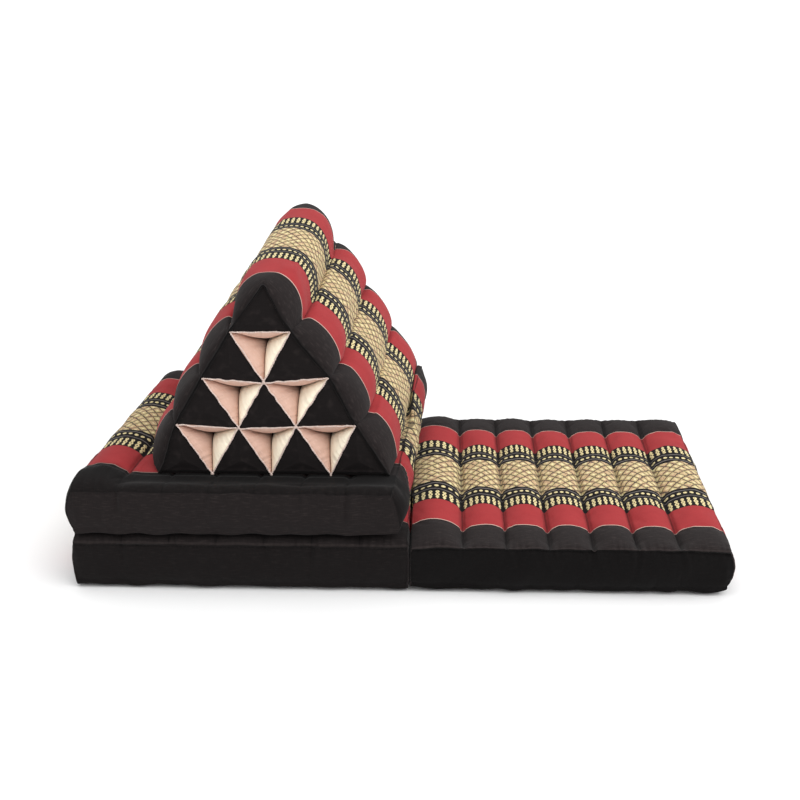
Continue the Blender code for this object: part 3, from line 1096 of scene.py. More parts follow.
    def end_relief(self, points: Array, u: Array, down: Array) -> Array:
        """End walls: edge seam, hem at the floor, lumps, fine folds and a crease at each channel.

        Args:
            points: places of the skin.
            u: place along the pad from 0 to 1.
            down: distance below the upper cloth.

        Returns:
            Height of the relief along the normals.
        """
        x, _, z = points.T
        rng = np.random.default_rng(self.seed)
        strength = self.lip * np.clip(0.75 + 0.45 * ripples(x, self.seed + 1, 5, 0.21, 0.06), 0.25, 1.2)
        rise, width = self.lip_rise
        sink, place, breadth = self.lip_sink
        lip = rise * np.exp(-((down / width) ** 2.0)) - sink * np.exp(-(((down - place) / breadth) ** 2.0))
        height = z - self.floor
        hem = 0.0008 * np.exp(-((height / 0.006) ** 2.0))
        hem = hem - 0.0010 * np.exp(-(((height - 0.013) / 0.004) ** 2.0))
        wall = strength * lip + hem + 0.0018 * lumps(points, self.seed + 40, 0.10)
        wall = wall + 0.0005 * ripples(x + 0.3 * z, self.seed + 2, 7, 0.030, 0.010) * np.exp(-down / 0.022)
        for channel_end in np.linspace(0.0, 1.0, self.channels + 1)[1:-1]:
            lean = rng.uniform(-0.25, 0.10)
            size = rng.uniform(0.2, 1.0) ** 2.0
            reach = rng.uniform(0.025, 0.055)
            offset = (u - channel_end) * self.length - lean * down
            crease = np.exp(-((offset / 0.0030) ** 2.0))
            crease = crease - 0.8 * np.exp(-(((offset - 0.0065) / 0.0040) ** 2.0))
            wall = wall - self.crease_depth * size * crease * smooth(reach, 0.3 * reach, down)
        return wall

    def side_relief(self, points: Array, down: Array) -> Array:
        """Round side walls: lumps, and fine folds below the upper cloth."""
        folds = 0.0006 * ripples(points[:, 1], self.seed + 3, 7, 0.05, 0.015) * np.exp(-down / 0.02)
        return 0.0013 * lumps(points, self.seed + 60, 0.09) + folds

    def build(self, finishes: Sequence[bpy.types.Material]) -> bpy.types.Object:
        """Args:
            finishes: materials in the order of the Cloth numbers.

        Returns:
            The piece.
        """
        piece = self.surface().to_object(self.name, finishes)
        dress(piece, self.node)
        return piece


@dataclass
class LowerPad(Pad):
    """The pad at the foot of the stack, pressed flat by the one above except at its right end."""

    fold: float = 0.0832
    lift_off: float = 0.0040

    def ceiling(self, x: Array, y: Array) -> Optional[Array]:
        """Flat underside of the upper pad, which lifts off near the right end."""
        return self.fold - GAP / 2.0 + self.lift_off * smooth(-0.075, -0.055, x)


@dataclass
class Wedge:
    """Ten stuffed triangular tubes in four rows, sewn together at their corners.

    Lengths are metres. The drift tables hold row, step and the shift of a corner to the right and
    upwards in millimetres.
    """

    rows: int = 4
    width: float = 0.0861
    height: float = 0.0716
    centre: float = -0.2185
    base: float = 0.1532
    front: float = 0.0610
    back: float = 0.5570
    lean: float = 0.0386
    shear: float = 0.044
    crown: float = 0.0045
    foot_strip: float = 0.018
    foot_front: float = 0.032
    foot_slope: float = 0.50
    beside_strip: float = 0.010
    beside_slope: float = 6.0
    softness: float = 0.0022
    lobe_rise: float = 0.0235
    front_end: tuple[float, ...] = (0.090, 0.090, 0.090, 0.0075)
    back_end: tuple[float, ...] = (0.090, 0.130, 0.050, 0.0120)
    node_shift: Array = field(default_factory=lambda: np.array((0.0090, 0.0065)))
    mirror: Array = field(default_factory=lambda: np.array((-1.0, 1.0)))
    hollow_rise: float = 0.0340
    hollow_top_rise: float = 0.0280
    hollow_depth: float = 0.110
    top_half: float = 0.0530
    top_rise: float = 0.0560
    top_low: float = 0.0205
    top_start: float = -20.0
    squareness: float = 0.87
    side_steps: int = 26
    line_depth: tuple[float, ...] = (0.0380, 0.0410, 0.0510, 0.0510)
    front_drift: tuple[tuple[float, ...], ...] = (
        (0, 0, 0.7, 0.0), (1, 0, -6.0, -2.5), (1, 1, -6.5, -1.5), (2, 0, -4.2, 1.5), (2, 1, -3.2, -4.5),
        (2, 2, 2.5, 3.7), (3, 0, -0.5, 3.7), (3, 1, 2.5, -1.0), (3, 2, -1.7, 2.0), (3, 3, -3.0, 5.0),
        (4, 0, 14.0, 0.0), (4, 1, 5.4, 0.0), (4, 2, 4.4, 0.0), (4, 3, 3.7, 0.0), (4, 4, 1.2, 0.0))
    back_drift: tuple[tuple[float, ...], ...] = (
        (0, 0, -3.0, 2.0), (1, 1, -1.0, 0.5), (2, 2, -2.5, 1.0), (3, 3, -2.5, 1.0), (4, 4, 7.0, 0.0),
        (4, 0, 0.0, 0.0))
    drift_reach: float = 0.060
    drift_fade: float = 0.035
    line_spread: float = 1.05
    face_shares: tuple[float, ...] = (
        0.0, 0.12, 0.24, 0.36, 0.47, 0.57, 0.66, 0.74, 0.81, 0.87, 0.91, 0.94, 0.965, 0.985)
    fill_steps: tuple[float, ...] = (
        0.0, 0.02, 0.045, 0.08, 0.12, 0.17, 0.23, 0.30, 0.38,
        0.47, 0.56, 0.65, 0.74, 0.82, 0.89, 0.95, 0.985, 1.0)
    body_rings: int = 34
    # Painted shade inside the hollows: where it begins behind the end face on each lining, and the depth over
    # which it deepens.
    shaded_lining_dark_start: float = 0.006
    cream_lining_dark_start: float = 0.018
    lining_shade_depth: float = 0.052

    def limit(self, x: Array, y: Array) -> Array:
        """Height left to the pad under the wedge, rising again past a strip round its foot.

        Args:
            x: places to the right.
            y: places to the back.

        Returns:
            The height at each place.
        """
        shift = self.shear * (y - self.front)
        half = self.rows * self.width / 2.0
        left = self.centre - half + shift - x
        right = x - (self.centre + half + shift)
        beside = smooth(0.200, 0.400, y)
        strip = self.foot_strip + (self.beside_strip - self.foot_strip) * beside
        slope = self.foot_slope + (self.beside_slope - self.foot_slope) * beside
        away = np.maximum(left - self.foot_strip, self.front - y - self.foot_front)
        rise = np.clip(np.maximum(self.foot_slope * away, slope * (right - strip)), -0.1, 0.3)
        return self.base - GAP + self.softness * np.log1p(np.exp(rise / self.softness))

    def node(self, row: int, step: int) -> Array:
        """Where the corners of the tubes meet, seen from the wedge's end."""
        return np.array(((step - row / 2.0) * self.width, self.base + (self.rows - row) * self.height))

    def hollow_side(self, start: Array, end: Array, far: Array, rise: float, depth: Array) -> Array:
        """Wall of a hollow: a parabola that grows with depth, cut off at the corner bisectors.

        Args:
            start: first corner of the wall at the end face.
            end: last corner.
            far: the hollow's third corner.
            rise: swell of the wall's middle where it is full.
            depth: distance behind the end face, one value for each ring.

        Returns:
            Points for each ring and step.
        """
        lengths = np.linalg.norm(np.array((end - far, far - start, start - end)), axis=1)
        centre = (lengths[0] * start + lengths[1] * end + lengths[2] * far) / lengths.sum()
        along = end - start
        length = np.linalg.norm(along)
        along = along / length
        outward = np.array((along[1], -along[0]))
        peak = np.dot(centre - start, along) / length
        height = np.dot(centre - start, outward)
        steps = np.linspace(0.0, 1.0, self.side_steps)
        steps = 0.5 - 0.5 * np.cos(np.pi * steps)
        steps = np.interp(steps, (0.0, 0.5, 1.0), (0.0, peak, 1.0))
        limit = height * np.minimum(steps / peak, (1.0 - steps) / (1.0 - peak))
        swell = 4.0 * rise * steps * (1.0 - steps) * rounded(depth / self.hollow_depth)[:, None]
        offset = np.minimum(limit[None, :], swell)
        return start + steps[None, :, None] * length * along + offset[:, :, None] * outward

    def lobe_side(self, start: Array, end: Array, start_shift: Array, end_shift: Array, full: Array) -> Array:
        """Outer wall: half an ellipse that rises as it fills, between lines that move out.

        Args:
            start: first corner of the wall at the end face.
            end: last corner.
            start_shift: how far the first line moves out.
            end_shift: how far the last line does.
            full: how far each ring is filled, from 0 to 1.

        Returns:
            Points for each ring and step.
        """
        first = start + start_shift * full
        last = end + end_shift * full
        along = last - first
        outward = np.stack((along[..., 1], -along[..., 0]), axis=-1)
        outward = outward / np.linalg.norm(along, axis=-1, keepdims=True)
        turn = np.pi * np.linspace(0.0, 1.0, self.side_steps)[None, :, None]
        return first + (1.0 - np.cos(turn)) / 2.0 * along + self.lobe_rise * full * np.sin(turn) * outward

    def top_lobe(self, depth: Array, end: tuple[float, ...]) -> Array:
        """Round top: the two sides of the tip grow into one squared-off ellipse.

        Args:
            depth: distances behind the end face.
            end: fullness of that end, front_end or back_end.

        Returns:
            Points for each ring and step.
        """
        full = rounded(depth[:, None, None] / np.array(end[1:3]))
        low = self.node(1, 1)
        angles = np.radians(np.linspace(self.top_start, 90.0, self.side_steps))
        cosine = np.abs(np.cos(angles)) ** self.squareness
        sine = np.sign(np.sin(angles)) * np.abs(np.sin(angles)) ** self.squareness
        ellipse = np.stack((self.top_half * cosine, low[1] + self.top_low + self.top_rise * sine), axis=1)
        ellipse[0] = low + self.node_shift
        tip = self.node(0, 0) - np.array((0.0, end[3]))
        flat = low + np.linspace(0.0, 1.0, self.side_steps)[:, None] * (tip - low)
        right = flat + full * (ellipse - flat)
        left = right[:, ::-1] * self.mirror
        return np.concatenate((right, left[:, 1:]), axis=1)

    def ring(self, row: int, step: int, depth: Array, end: tuple[float, ...]) -> tuple[Array, Array, Array]:
        """Outlines of one tube at several depths, anticlockwise from its low left corner.

        Args:
            row: row of the tube, 1 at the top.
            step: place in the row, 1 at the left.
            depth: distances behind the end face.
            end: fullness of that end, front_end or back_end.

        Returns:
            Points for each ring and step, the cloth of each step, and 0 in the valleys to 1 on the
            crests of the outer walls.
        """
        low_left = self.node(row, step - 1)
        low_right = self.node(row, step)
        tip = self.node(row - 1, step - 1)
        low_shift = self.node_shift * (0.0 if row == self.rows else 1.0)
        steps = np.linspace(0.0, 1.0, self.side_steps)
        bow = np.sin(np.pi * steps)
        flat = np.zeros(self.side_steps)
        full = rounded(depth / end[0])[:, None, None]
        # The top and left walls of each hollow take the lining in painted shade, its right wall the cream
        # lining.
        if row == self.rows:
            foot = low_left + steps[:, None] * (low_right - low_left)
            base = np.broadcast_to(foot, (len(depth), self.side_steps, 2))
            base_cloth = Cloth.PLAIN
        else:
            below = self.node(row + 1, step)
            base = self.hollow_side(low_left, low_right, below, self.hollow_top_rise, depth)
            base_cloth = Cloth.SHADED_LINING
        walls = [(base, base_cloth, flat)]
        if row == 1:
            arch = np.sin(np.pi * np.linspace(0.0, 1.0, 2 * self.side_steps - 1))
            walls.append((self.top_lobe(depth, end), Cloth.BANDED, arch))
        else:
            if step == row:
                side = self.lobe_side(low_right, tip, low_shift, self.node_shift, full)
                walls.append((side, Cloth.BANDED, bow))
            else:
                side = self.hollow_side(low_right, tip, self.node(row - 1, step), self.hollow_rise, depth)
                walls.append((side, Cloth.SHADED_LINING, flat))
            if step == 1:
                shifts = (self.node_shift * self.mirror, low_shift * self.mirror)
                side = self.lobe_side(tip, low_left, shifts[0], shifts[1], full)
                walls.append((side, Cloth.BANDED, bow))
            else:
                side = self.hollow_side(tip, low_left, self.node(row - 1, step - 2), self.hollow_rise, depth)
                walls.append((side, Cloth.CREAM_LINING, flat))
        points = np.concatenate([wall[0] for wall in walls], axis=1)
        cloths = np.concatenate([np.full(wall[0].shape[1], wall[1].value) for wall in walls])
        bows = np.concatenate([wall[2] for wall in walls])
        return points, cloths, bows

    def drift(self, ring: Array, depth: Array, front: bool) -> Array:
        """Move outlines as the hand-sewn corners lie off their pattern.

        The shift is a sum of bells exp(-(r / reach)^2) about the corners, sized so that it is right
        at every corner; at the front it fades with depth.

        Args:
            ring: outlines seen from the wedge's end.
            depth: distances behind the end face.
            front: whether it is the front end.

        Returns:
            The moved outlines.
        """
        table = np.array(self.front_drift if front else self.back_drift)
        corners = np.array([self.node(int(row), int(step)) for row, step in table[:, :2]])
        apart = np.linalg.norm(corners[:, None] - corners[None], axis=-1)
        sizes = np.linalg.solve(np.exp(-((apart / self.drift_reach) ** 2.0)), table[:, 2:] / 1000.0)
        away = np.linalg.norm(ring[..., None, :] - corners, axis=-1)
        shift = np.exp(-((away / self.drift_reach) ** 2.0)) @ sizes
        if front:
            shift = shift * np.exp(-np.clip(depth, 0.0, None) / self.drift_fade)[..., None]
        lift = np.clip((ring[..., 1] - self.base) / 0.03, 0.0, 1.0)
        return ring + shift * np.stack((np.ones_like(lift), lift), axis=-1)

    def world(self, ring: Array, depth: Array, front: bool) -> Array:
        """Carry outlines to their place behind the front face, or before the back one.

        Args:
            ring: outlines seen from the wedge's end.
            depth: distances behind the end face.
            front: whether it is the front end.

        Returns:
            Positions in metres.
        """
        ring = self.drift(ring, depth, front)
        z = ring[..., 1]
        if front:
            y = self.front + self.lean * (z - self.base) + depth
        else:
            y = np.broadcast_to(self.back - depth, z.shape)
        x = self.centre + ring[..., 0] + self.shear * (y - self.front)
        return np.stack((x, y, z), axis=-1)

    def from_sides(self, face: Array, row: int, step: int) -> Array:
        """Distance of points of an end face from its stitched outer edges, FAR where it has none.

        Args:
            face: points seen from the wedge's end.
            row: row of the tube, 1 at the top.
            step: place in the row, 1 at the left.

        Returns:
            The distance of each point.
        """
        low_left = self.node(row, step - 1)
        low_right = self.node(row, step)
        tip = self.node(row - 1, step - 1)
        edges = ([(low_right, tip)] if step == row else []) + ([(tip, low_left)] if step == 1 else [])
        distance = np.full(face.shape[:-1], FAR)
        for start, end in edges:
            along = (end - start) / np.linalg.norm(end - start)
            inward = np.array((-along[1], along[0]))
            distance = np.minimum(distance, np.abs((face - start) @ inward))
        return distance

    def end_skin(
        self, rings: Array, spot: tuple[int, int], near: Array, outer: Array, front: bool
    ) -> tuple[Array, Array]:
        """One end of a tube: its flat face, a little crowned, and the walls that fill out behind it.

        Args:
            rings: outlines of the walls at the depths in near.
            spot: row and step of the tube.
            near: distances behind the end face.
            outer: whether each point of an outline is on an outer wall.
            front: whether it is the front end.

        Returns:
            Points from the middle of the face outwards and then along the walls, and the distance
            from a stitched line: positive on the face, negative on outer walls, FAR elsewhere.
        """
        shares = np.array(self.face_shares)
        rise = -self.crown * (1.0 - shares ** 3.0)[:, None]
        middle = rings[0].mean(axis=0)
        face = middle + shares[:, None, None] * (rings[0] - middle)
        walls = self.world(rings, near[:, None], front)
        run = np.cumsum(np.linalg.norm(np.diff(walls, axis=0, prepend=walls[:1]), axis=-1), axis=0)
        skin = np.concatenate((self.world(face, rise, front), walls))
        behind = np.where(outer[None, :], -np.minimum(run, FAR), FAR)
        mark = np.concatenate((self.from_sides(face, *spot), behind))
        if spot[0] == self.rows:
            height = skin[..., 2] - self.base
            tuck = 0.0034 * np.exp(-height / 0.0022)
            tuck = tuck - 0.0012 * np.exp(-(((height - 0.0060) / 0.0018) ** 2.0))
            ahead = np.exp(-near / 0.004)[:, None] * np.ones_like(run)
            tuck = tuck * np.concatenate((np.ones_like(face[..., 0]), ahead))
            skin[..., 1] = skin[..., 1] + (tuck if front else -tuck)
        return skin, mark

    def surface(self, row: int, step: int) -> Surface:
        """Skin of one tube: a loft from the middle of its front face, round its walls, to the back.

        Args:
            row: row of the tube, 1 at the top.
            step: place in the row, 1 at the left.

        Returns:
            The tube's skin.
        """
        near = self.back_end[1] * (1.0 - np.sqrt(1.0 - np.array(self.fill_steps) ** 2.0))
        walls, cloths, bows = self.ring(row, step, near, self.front_end)
        back_walls = self.ring(row, step, near, self.back_end)[0]
        banded = cloths == Cloth.BANDED.value
        front, front_mark = self.end_skin(walls, (row, step), near, banded, True)
        back, back_mark = self.end_skin(back_walls, (row, step), near, banded, False)
        share = np.linspace(0.0, 1.0, self.body_rings + 2)[1:-1, None, None]
        body = front[-1] + share * (back[-1] - front[-1])
        points = np.concatenate((front, body, back[::-1]))
        body_mark = np.where(banded, -FAR, FAR) * np.ones((len(body), 1))
        seam = np.concatenate((front_mark, body_mark, back_mark[::-1]))
        count, around = points.shape[:2]
        edge = len(self.face_shares)
        index = np.arange(count * around).reshape(count, around)
        index[0] = index[0, 0]
        index[-1] = index[-1, 0]
        after = np.roll(index, -1, axis=1)
        quads = np.stack((index[:-1], after[:-1], after[1:], index[1:]), axis=-1)
        on_face = np.zeros((count, around), dtype=bool)
        on_face[:edge] = True
        on_face[-edge:] = True
        kinds = np.broadcast_to(cloths, (count - 1, around)).copy()
        kinds[:edge] = Cloth.BANDED.value
        kinds[-edge:] = Cloth.BANDED.value
        held = np.ones((count, around))
        held[:edge] = 0.0
        held[-edge:] = 0.0
        held[edge + 1: -edge - 1, bows > 0.05] = 0.0
        outside = np.broadcast_to(bows > 0.0, (count, around)) & ~on_face
        relief = self.relief(points, seam, (outside.ravel(), on_face.ravel()), row * 10 + step)
        from_front = points[..., 1] - self.front - self.lean * (points[..., 2] - self.base)
        weave = self.weave(points, from_front, on_face, self.line_depth[row - 1])
        weave = np.concatenate((weave, seam[..., None]), axis=-1)
        # Painted shade at the stitched lines, on the end faces and inside the hollows.
        tone = self.tone(np.minimum(from_front, self.back - points[..., 1]), seam, cloths, on_face)
        return Surface(
            points.reshape(-1, 3), quads.reshape(-1, 4), kinds.ravel(), weave.reshape(-1, 3),
            relief, held.ravel(), tone.ravel())

    def weave(self, points: Array, from_front: Array, on_face: Array, line_depth: float) -> Array:
        """Cloth position of each point: round the tube and along it, or up and across an end face.

        Args:
            points: places of the skin, by ring and step.
            from_front: their distances behind the front face.
            on_face: whether each is on an end face.
            line_depth: distance at which the black band ends.

        Returns:
            Positions across and along the bands.
        """
        along = BandedCloth.first_line + (from_front - line_depth) / self.line_spread
        step_length = np.linalg.norm(np.diff(points, axis=1, prepend=points[:, :1]), axis=-1)
        across = np.cumsum(step_length, axis=1)[len(points) // 2]
        face_along = 0.030 + 0.1 * (points[..., 0] - self.centre)
        across = np.where(on_face, points[..., 2], across)
        return np.stack((across, np.where(on_face, face_along, along)), axis=-1)

    def relief(self, points: Array, seam: Array, where: tuple[Array, Array], seed: int) -> Array:
        """Sewn edges, gathers behind them, and lumps.

        Args:
            points: places of the skin, by ring and step.
            seam: distance from a stitched line.
            where: whether each point is on an outer wall, and whether it is on an end face.
            seed: picks its unevenness.

        Returns:
            Height of the relief along the normals.
        """
        outside, on_face = where
        flat = points.reshape(-1, 3)
        run = np.abs(seam).ravel()
        gathers = ripples(flat[:, 2] * 1.5 + flat[:, 0], seed, 8, 0.020, 0.006) * np.exp(-run / 0.012)
        relief = 0.0008 * gathers * outside - 0.0022 * np.exp(-((run / 0.0019) ** 2.0))
        relief = relief + 0.0016 * lumps(flat, seed + 30, 0.11) * outside
        return relief + 0.0007 * lumps(flat, seed + 50, 0.06) * on_face

    def tone(self, inward: Array, seam: Array, cloths: Array, on_face: Array) -> Array:
        """Painted shade on the cloth: dark at stitched lines, deep inside the hollows and all over the end
        faces.

        Args:
            inward: distance of each point from the nearer end face.
            seam: distance from a stitched line.
            cloths: the cloth of each step round the tube.
            on_face: whether each point is on an end face.

        Returns:
            The tone of each point.
        """
        # Lining walls in painted shade start their painted darkening nearer the end face.
        rose = cloths == Cloth.SHADED_LINING.value
        lined = rose | (cloths == Cloth.CREAM_LINING.value)
        painted_outer_shade = 1.0 - 0.92 * np.exp(-np.abs(seam) / 0.0026)
        painted_face_shade = 0.46 - 0.30 * np.exp(-np.abs(seam) / 0.0018)
        start = np.where(rose, self.shaded_lining_dark_start, self.cream_lining_dark_start)[None, :]
        painted_lining_shade = 1.0 - 0.97 * smooth(0.0, 1.0, (inward - start) / self.lining_shade_depth)
        return np.where(on_face, painted_face_shade, np.where(lined[None, :], painted_lining_shade, painted_outer_shade))

    def build(self, finishes: Sequence[bpy.types.Material]) -> list[bpy.types.Object]:
        """Args:
            finishes: materials in the order of the Cloth numbers.

        Returns:
            The tubes.
        """
        tubes = []
        for row in range(1, self.rows + 1):
            for step in range(1, row + 1):
                tube = self.surface(row, step).to_object(f"tube_row{row}_{step}", finishes)
                dress(tube, f"wedge_row{row}_{step}")
                tubes.append(tube)
        return tubes


@dataclass
class HollowRims:
    """Whip-stitched edges of the hollows: a thin roll of lining along each side, knots in corners."""

    wedge: Wedge
    radius: float = 0.0010
    stitch: float = 0.0032
    around: int = 7
    ring_pitch: float = 0.0008
    taper: float = 0.003
    wander: float = 0.0005
    knot_radius: float = 0.0019
    knot_rings: int = 9
    knot_around: int = 10
    inset: float = 0.975
    lift: float = -0.0007

    def roll(self, start: Array, end: Array, seed: int) -> tuple[Array, Array]:
        """One side's roll: a tube whose radius swells at each slanted stitch.

        Args:
            start: first corner.
            end: last corner.
            seed: picks its unevenness.

        Returns:
            Points and faces.
        """
        along = end - start
        length = np.linalg.norm(along)
        along = along / length
        count = int(length / self.ring_pitch)
        place = np.linspace(0.0, length, count)
        aside = np.cross(along, (0.0, 1.0, 0.0))
        aside = aside / np.linalg.norm(aside)
        ahead = np.cross(along, aside)
        turn = np.linspace(0.0, 2.0 * np.pi, self.around, endpoint=False)
        slant = np.sin(2.0 * np.pi * place[:, None] / self.stitch + turn)
        ends = np.sqrt(np.clip(np.minimum(place, length - place) / self.taper, 0.02, 1.0))
        uneven = 1.0 + 0.30 * slant + 0.20 * ripples(place, seed, 6, 0.02, 0.004)[:, None]
        thick = self.radius * uneven * ends[:, None]
        wander = self.wander * ripples(place, seed + 1, 4, 0.06, 0.015)
        axis = start + place[:, None] * along + wander[:, None] * aside
        circle = np.cos(turn)[:, None] * aside + np.sin(turn)[:, None] * ahead
        points = axis[:, None] + thick[..., None] * circle
        index = np.arange(count * self.around).reshape(count, self.around)
        after = np.roll(index, -1, axis=1)
        quads = np.stack((index[:-1], after[:-1], after[1:], index[1:]), axis=-1)
        return points.reshape(-1, 3), quads.reshape(-1, 4)

    def knot(self, middle: Array, seed: int) -> tuple[Array, Array]:
        """Bumpy ball of thread.

        Args:
            middle: its middle.
            seed: picks its unevenness.

        Returns:
            Points and faces.
        """
        rng = np.random.default_rng(seed)
        heights = np.linspace(0.05, np.pi - 0.05, self.knot_rings)
        turns = np.linspace(0.0, 2.0 * np.pi, self.knot_around, endpoint=False)
        polar, turn = np.meshgrid(heights, turns, indexing="ij")
        size = self.knot_radius * rng.uniform(0.7, 1.2)
        size = size * (1.0 + 0.22 * np.sin(4.0 * turn + 5.0 * polar + seed))
        shape = np.stack((np.sin(polar) * np.cos(turn), np.sin(polar) * np.sin(turn), np.cos(polar)), axis=-1)
        points = middle + size[..., None] * shape * rng.uniform(0.7, 1.3, 3)
        index = np.arange(polar.size).reshape(polar.shape)
        after = np.roll(index, -1, axis=1)
        quads = np.stack((index[:-1], index[1:], after[1:], after[:-1]), axis=-1)
        return points.reshape(-1, 3), quads.reshape(-1, 4)

    def build(self, name: str, front: bool, finish: bpy.types.Material) -> None:
        """Args:
            name: the piece's name.
            front: whether it is the front end.
            finish: thread.
        """
        points: list[Array] = []
        quads: list[Array] = []
        total = 0
        for row in range(1, self.wedge.rows):
            for step in range(1, row + 1):
                spots = ((row, step - 1), (row, step), (row + 1, step))
                flat = np.array([self.wedge.node(*spot) for spot in spots])
                middle = flat.mean(axis=0)
                inner = middle + self.inset * (flat - middle)
                corners = self.wedge.world(inner, np.full(3, self.lift), front)
                seed = row * 10 + step
                made = [
                    self.roll(corners[side], corners[(side + 1) % 3], seed + side)
                    for side in range(3)
                ]
                made += [self.knot(corners[side], seed + 5 * side) for side in range(3)]
                for part, faces in made:
                    points.append(part)
                    quads.append(faces + total)
                    total += len(part)
        skin = np.concatenate(points)
        faces = np.concatenate(quads)
        mesh = bpy.data.meshes.new(name)
        mesh.from_pydata((skin + ORIGIN_SHIFT).tolist(), [], faces.tolist())
        mesh.materials.append(finish)
        mesh.polygons.foreach_set("use_smooth", np.ones(len(faces), dtype=bool))
        piece = bpy.data.objects.new(name, mesh)
        bpy.context.scene.collection.objects.link(piece)
        dress(piece, None)


@dataclass
class UpperPad(Pad):
    """The pad under the wedge."""

    wedge: Wedge = field(default_factory=Wedge)
    shade_inset: float = 0.012
    shade_reach: float = 0.0045

    def ceiling(self, x: Array, y: Array) -> Optional[Array]:
        """Underside of the wedge, with a pressed strip round its foot."""
        return self.wedge.limit(x, y)

    def covered(self, x: Array, y: Array) -> Array:
        """Whether the wedge, or the shade at its very foot, is over a point.

        Args:
            x: places to the right.
            y: places to the back.

        Returns:
            True where it is.
        """
        aside = np.abs(x - self.wedge.centre - self.wedge.shear * (y - self.wedge.front))
        half = self.wedge.rows * self.wedge.width / 2.0
        return (aside < half - self.shade_inset) & (y > self.wedge.front - self.shade_reach)


@dataclass
class Studio:
    """Pale floor, a soft light, a pale surround and the camera.

    The surround's brightness rises from its low value at the horizon to its high one overhead.
    """

    eye: tuple[float, float, float] = (0.0235, -1.7776, 0.9572)
    yaw: float = 1.655
    pitch: float = 20.49
    lens: float = 63.0
    floor_half: float = 16.0
    key_source: tuple[float, float, float] = (0.85, -0.50, 1.0)
    key_spread: float = 70.0
    key_power: float = 1.55
    surround_low: float = 0.35
    surround_high: float = 1.40

    def floor(self) -> None:
        """Lay a plain pale floor."""
        paint = Paint("pale_floor")
        place = paint.node("ShaderNodeTexCoord", {}, {}).outputs["Object"]
        tone = paint.mix(paint.noise(place, 3.0, 2.0), (0.86, 0.86, 0.86, 1.0), (0.90, 0.90, 0.90, 1.0))
        paint.finish(tone, 0.9, None, 0.0)
        mesh = bpy.data.meshes.new("floor")
        half = self.floor_half
        corners = [(-half, -half, 0.0), (half, -half, 0.0), (half, half, 0.0), (-half, half, 0.0)]
        mesh.from_pydata(corners, [], [(0, 1, 2, 3)])
        mesh.materials.append(paint.material)
        sheet = bpy.data.objects.new("floor", mesh)
        bpy.context.scene.collection.objects.link(sheet)

    def key(self) -> None:
        """Hang one broad, far lamp."""
        light = bpy.data.lights.new("key", "SUN")
        light.angle = math.radians(self.key_spread)
        light.energy = self.key_power
        holder = bpy.data.objects.new("key", light)
        bpy.context.scene.collection.objects.link(holder)
        holder.matrix_world = (-Vector(self.key_source)).to_track_quat("-Z", "Y").to_matrix().to_4x4()

    def surround(self) -> None:
        """Light the scene from all round, brighter overhead."""
        world = bpy.data.worlds.new("studio")
        world.use_nodes = True
        tree = world.node_tree
        ground = tree.nodes["Background"]
        ground.inputs[0].default_value = (1.0, 1.0, 1.0, 1.0)
        place = tree.nodes.new("ShaderNodeTexCoord")
        parts = tree.nodes.new("ShaderNodeSeparateXYZ")
        grade = tree.nodes.new("ShaderNodeMapRange")
        grade.inputs["From Min"].default_value = -0.1
        grade.inputs["From Max"].default_value = 1.0
        grade.inputs["To Min"].default_value = self.surround_low
        grade.inputs["To Max"].default_value = self.surround_high
        tree.links.new(place.outputs["Generated"], parts.inputs[0])
        tree.links.new(parts.outputs[2], grade.inputs["Value"])
        tree.links.new(grade.outputs[0], ground.inputs[1])
        bpy.context.scene.world = world
        bpy.context.scene.view_settings.view_transform = "Standard"

    def camera(self) -> None:
        """Set the camera at the picture's angle."""
        camera = bpy.data.cameras.new("camera")
        camera.sensor_width = 36.0
        camera.lens = self.lens
        holder = bpy.data.objects.new("camera", camera)
        bpy.context.scene.collection.objects.link(holder)
        yaw = math.radians(self.yaw)
        pitch = math.radians(self.pitch)
        level = math.cos(pitch)
        ahead = Vector((-math.sin(yaw) * level, math.cos(yaw) * level, -math.sin(pitch)))
        spot = Vector(np.array(self.eye) + ORIGIN_SHIFT)
        turned = ahead.to_track_quat("-Z", "Y").to_matrix().to_4x4()
        holder.matrix_world = Matrix.Translation(spot) @ turned
        bpy.context.scene.camera = holder

    def build(self) -> None:
        """Set the stage."""
        self.floor()
        self.key()
        self.surround()
        self.camera()


def cloths() -> list[bpy.types.Material]:
    """Make the cloths, in the order of the Cloth numbers.

    Returns:
        The materials.
    """
    return [
        BandedCloth().build(),
        PlainCloth("plain_black_cloth", shade(30, 25, 25), shade(50, 43, 42)).build(),
        # The second lining is the same cloth, darker and pinker, as painted shade.
        PlainCloth("shaded_lining", shade(205, 167, 149), shade(226, 195, 181)).build(),
        PlainCloth("cream_lining", shade(252, 240, 216), shade(255, 250, 234)).build(),
    ]


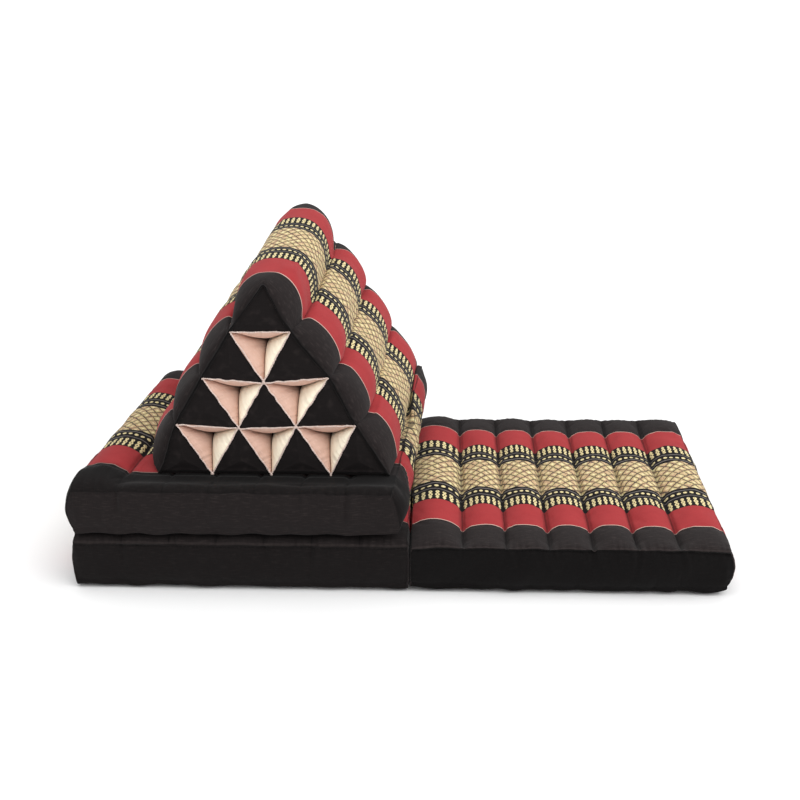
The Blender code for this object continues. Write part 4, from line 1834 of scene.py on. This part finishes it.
def mat(wedge: Wedge) -> tuple[Pad, Pad, Pad]:
    """Set out the three pads.

    Args:
        wedge: what lies on the upper pad.

    Returns:
        The outer, the lower and the upper pad.
    """
    # The tones given to the pads are painted shade: darker end walls, a darker strip behind the front edge
    # and a darker top on the upper pad.
    outer = Pad(
        name="outer_pad", node="pad_outer", spread=(-0.0125, 0.0615, 0.0615, 0.4355),
        floor=0.0, crest=0.0785, crest_extra=(0.0060, 0.0, 0.0004, 0.0, 0.0003, -0.0004, 0.0010),
        walls=(0.00235, 0.0105), top_inset=-0.0030, painted_wall_shade=0.12, seed=3)
    lower = LowerPad(
        name="lower_pad", node="pad_lower", spread=(-0.4915, -0.4240, 0.0677, -0.0180),
        floor=0.0, crest=0.0857, walls=(0.0060, 0.00285), painted_wall_shade=0.34, painted_top_shade=(0.50, 1.0),
        front_shade=0.5, lip=0.5, pressed_front=0.85, seed=5)
    upper = UpperPad(
        name="upper_pad", node="pad_upper", spread=(-0.4900, -0.4257, 0.0643, -0.0270),
        floor=0.08335, crest=0.1645, crest_extra=(0.0035, 0.0, 0.0, 0.0, 0.0, 0.0, 0.0),
        seam_top=0.1510, seam_base=(0.0863, 0.0867, 0.0871, 0.0876, 0.0882, 0.0888, 0.0910, 0.1032),
        shear=(0.100, 0.044), walls=(0.0160, 0.0160), wall_fade=0.28, wall_at_corner=(0.52, 0.12),
        top_inset=0.0130, base_lift=0.0150, corner_rise=0.0190, front_corner=0.0095,
        painted_wall_shade=0.74, painted_top_shade=(0.17, 0.86), front_shade=1.0, hidden_seam=0.0550,
        corner_slack=0.0500, lip=0.0, pressed_front=0.80, softness=0.0040, seed=7, wedge=wedge)
    return outer, lower, upper


def main() -> None:
    """Build the cushion piece by piece."""
    logging.basicConfig(level=logging.INFO)
    finishes = cloths()
    wedge = Wedge()
    stuffed = [pad.build(finishes) for pad in mat(wedge)] + wedge.build(finishes)
    Stuffing().settle(stuffed)
    for piece in stuffed:
        emboss(piece)
    thread = Thread("pale_thread", shade(226, 204, 194)).build()
    rims = HollowRims(wedge)
    rims.build("hollow_rims_front", True, thread)
    rims.build("hollow_rims_back", False, thread)
    Studio().build()


if __name__ == "__main__":
    main()
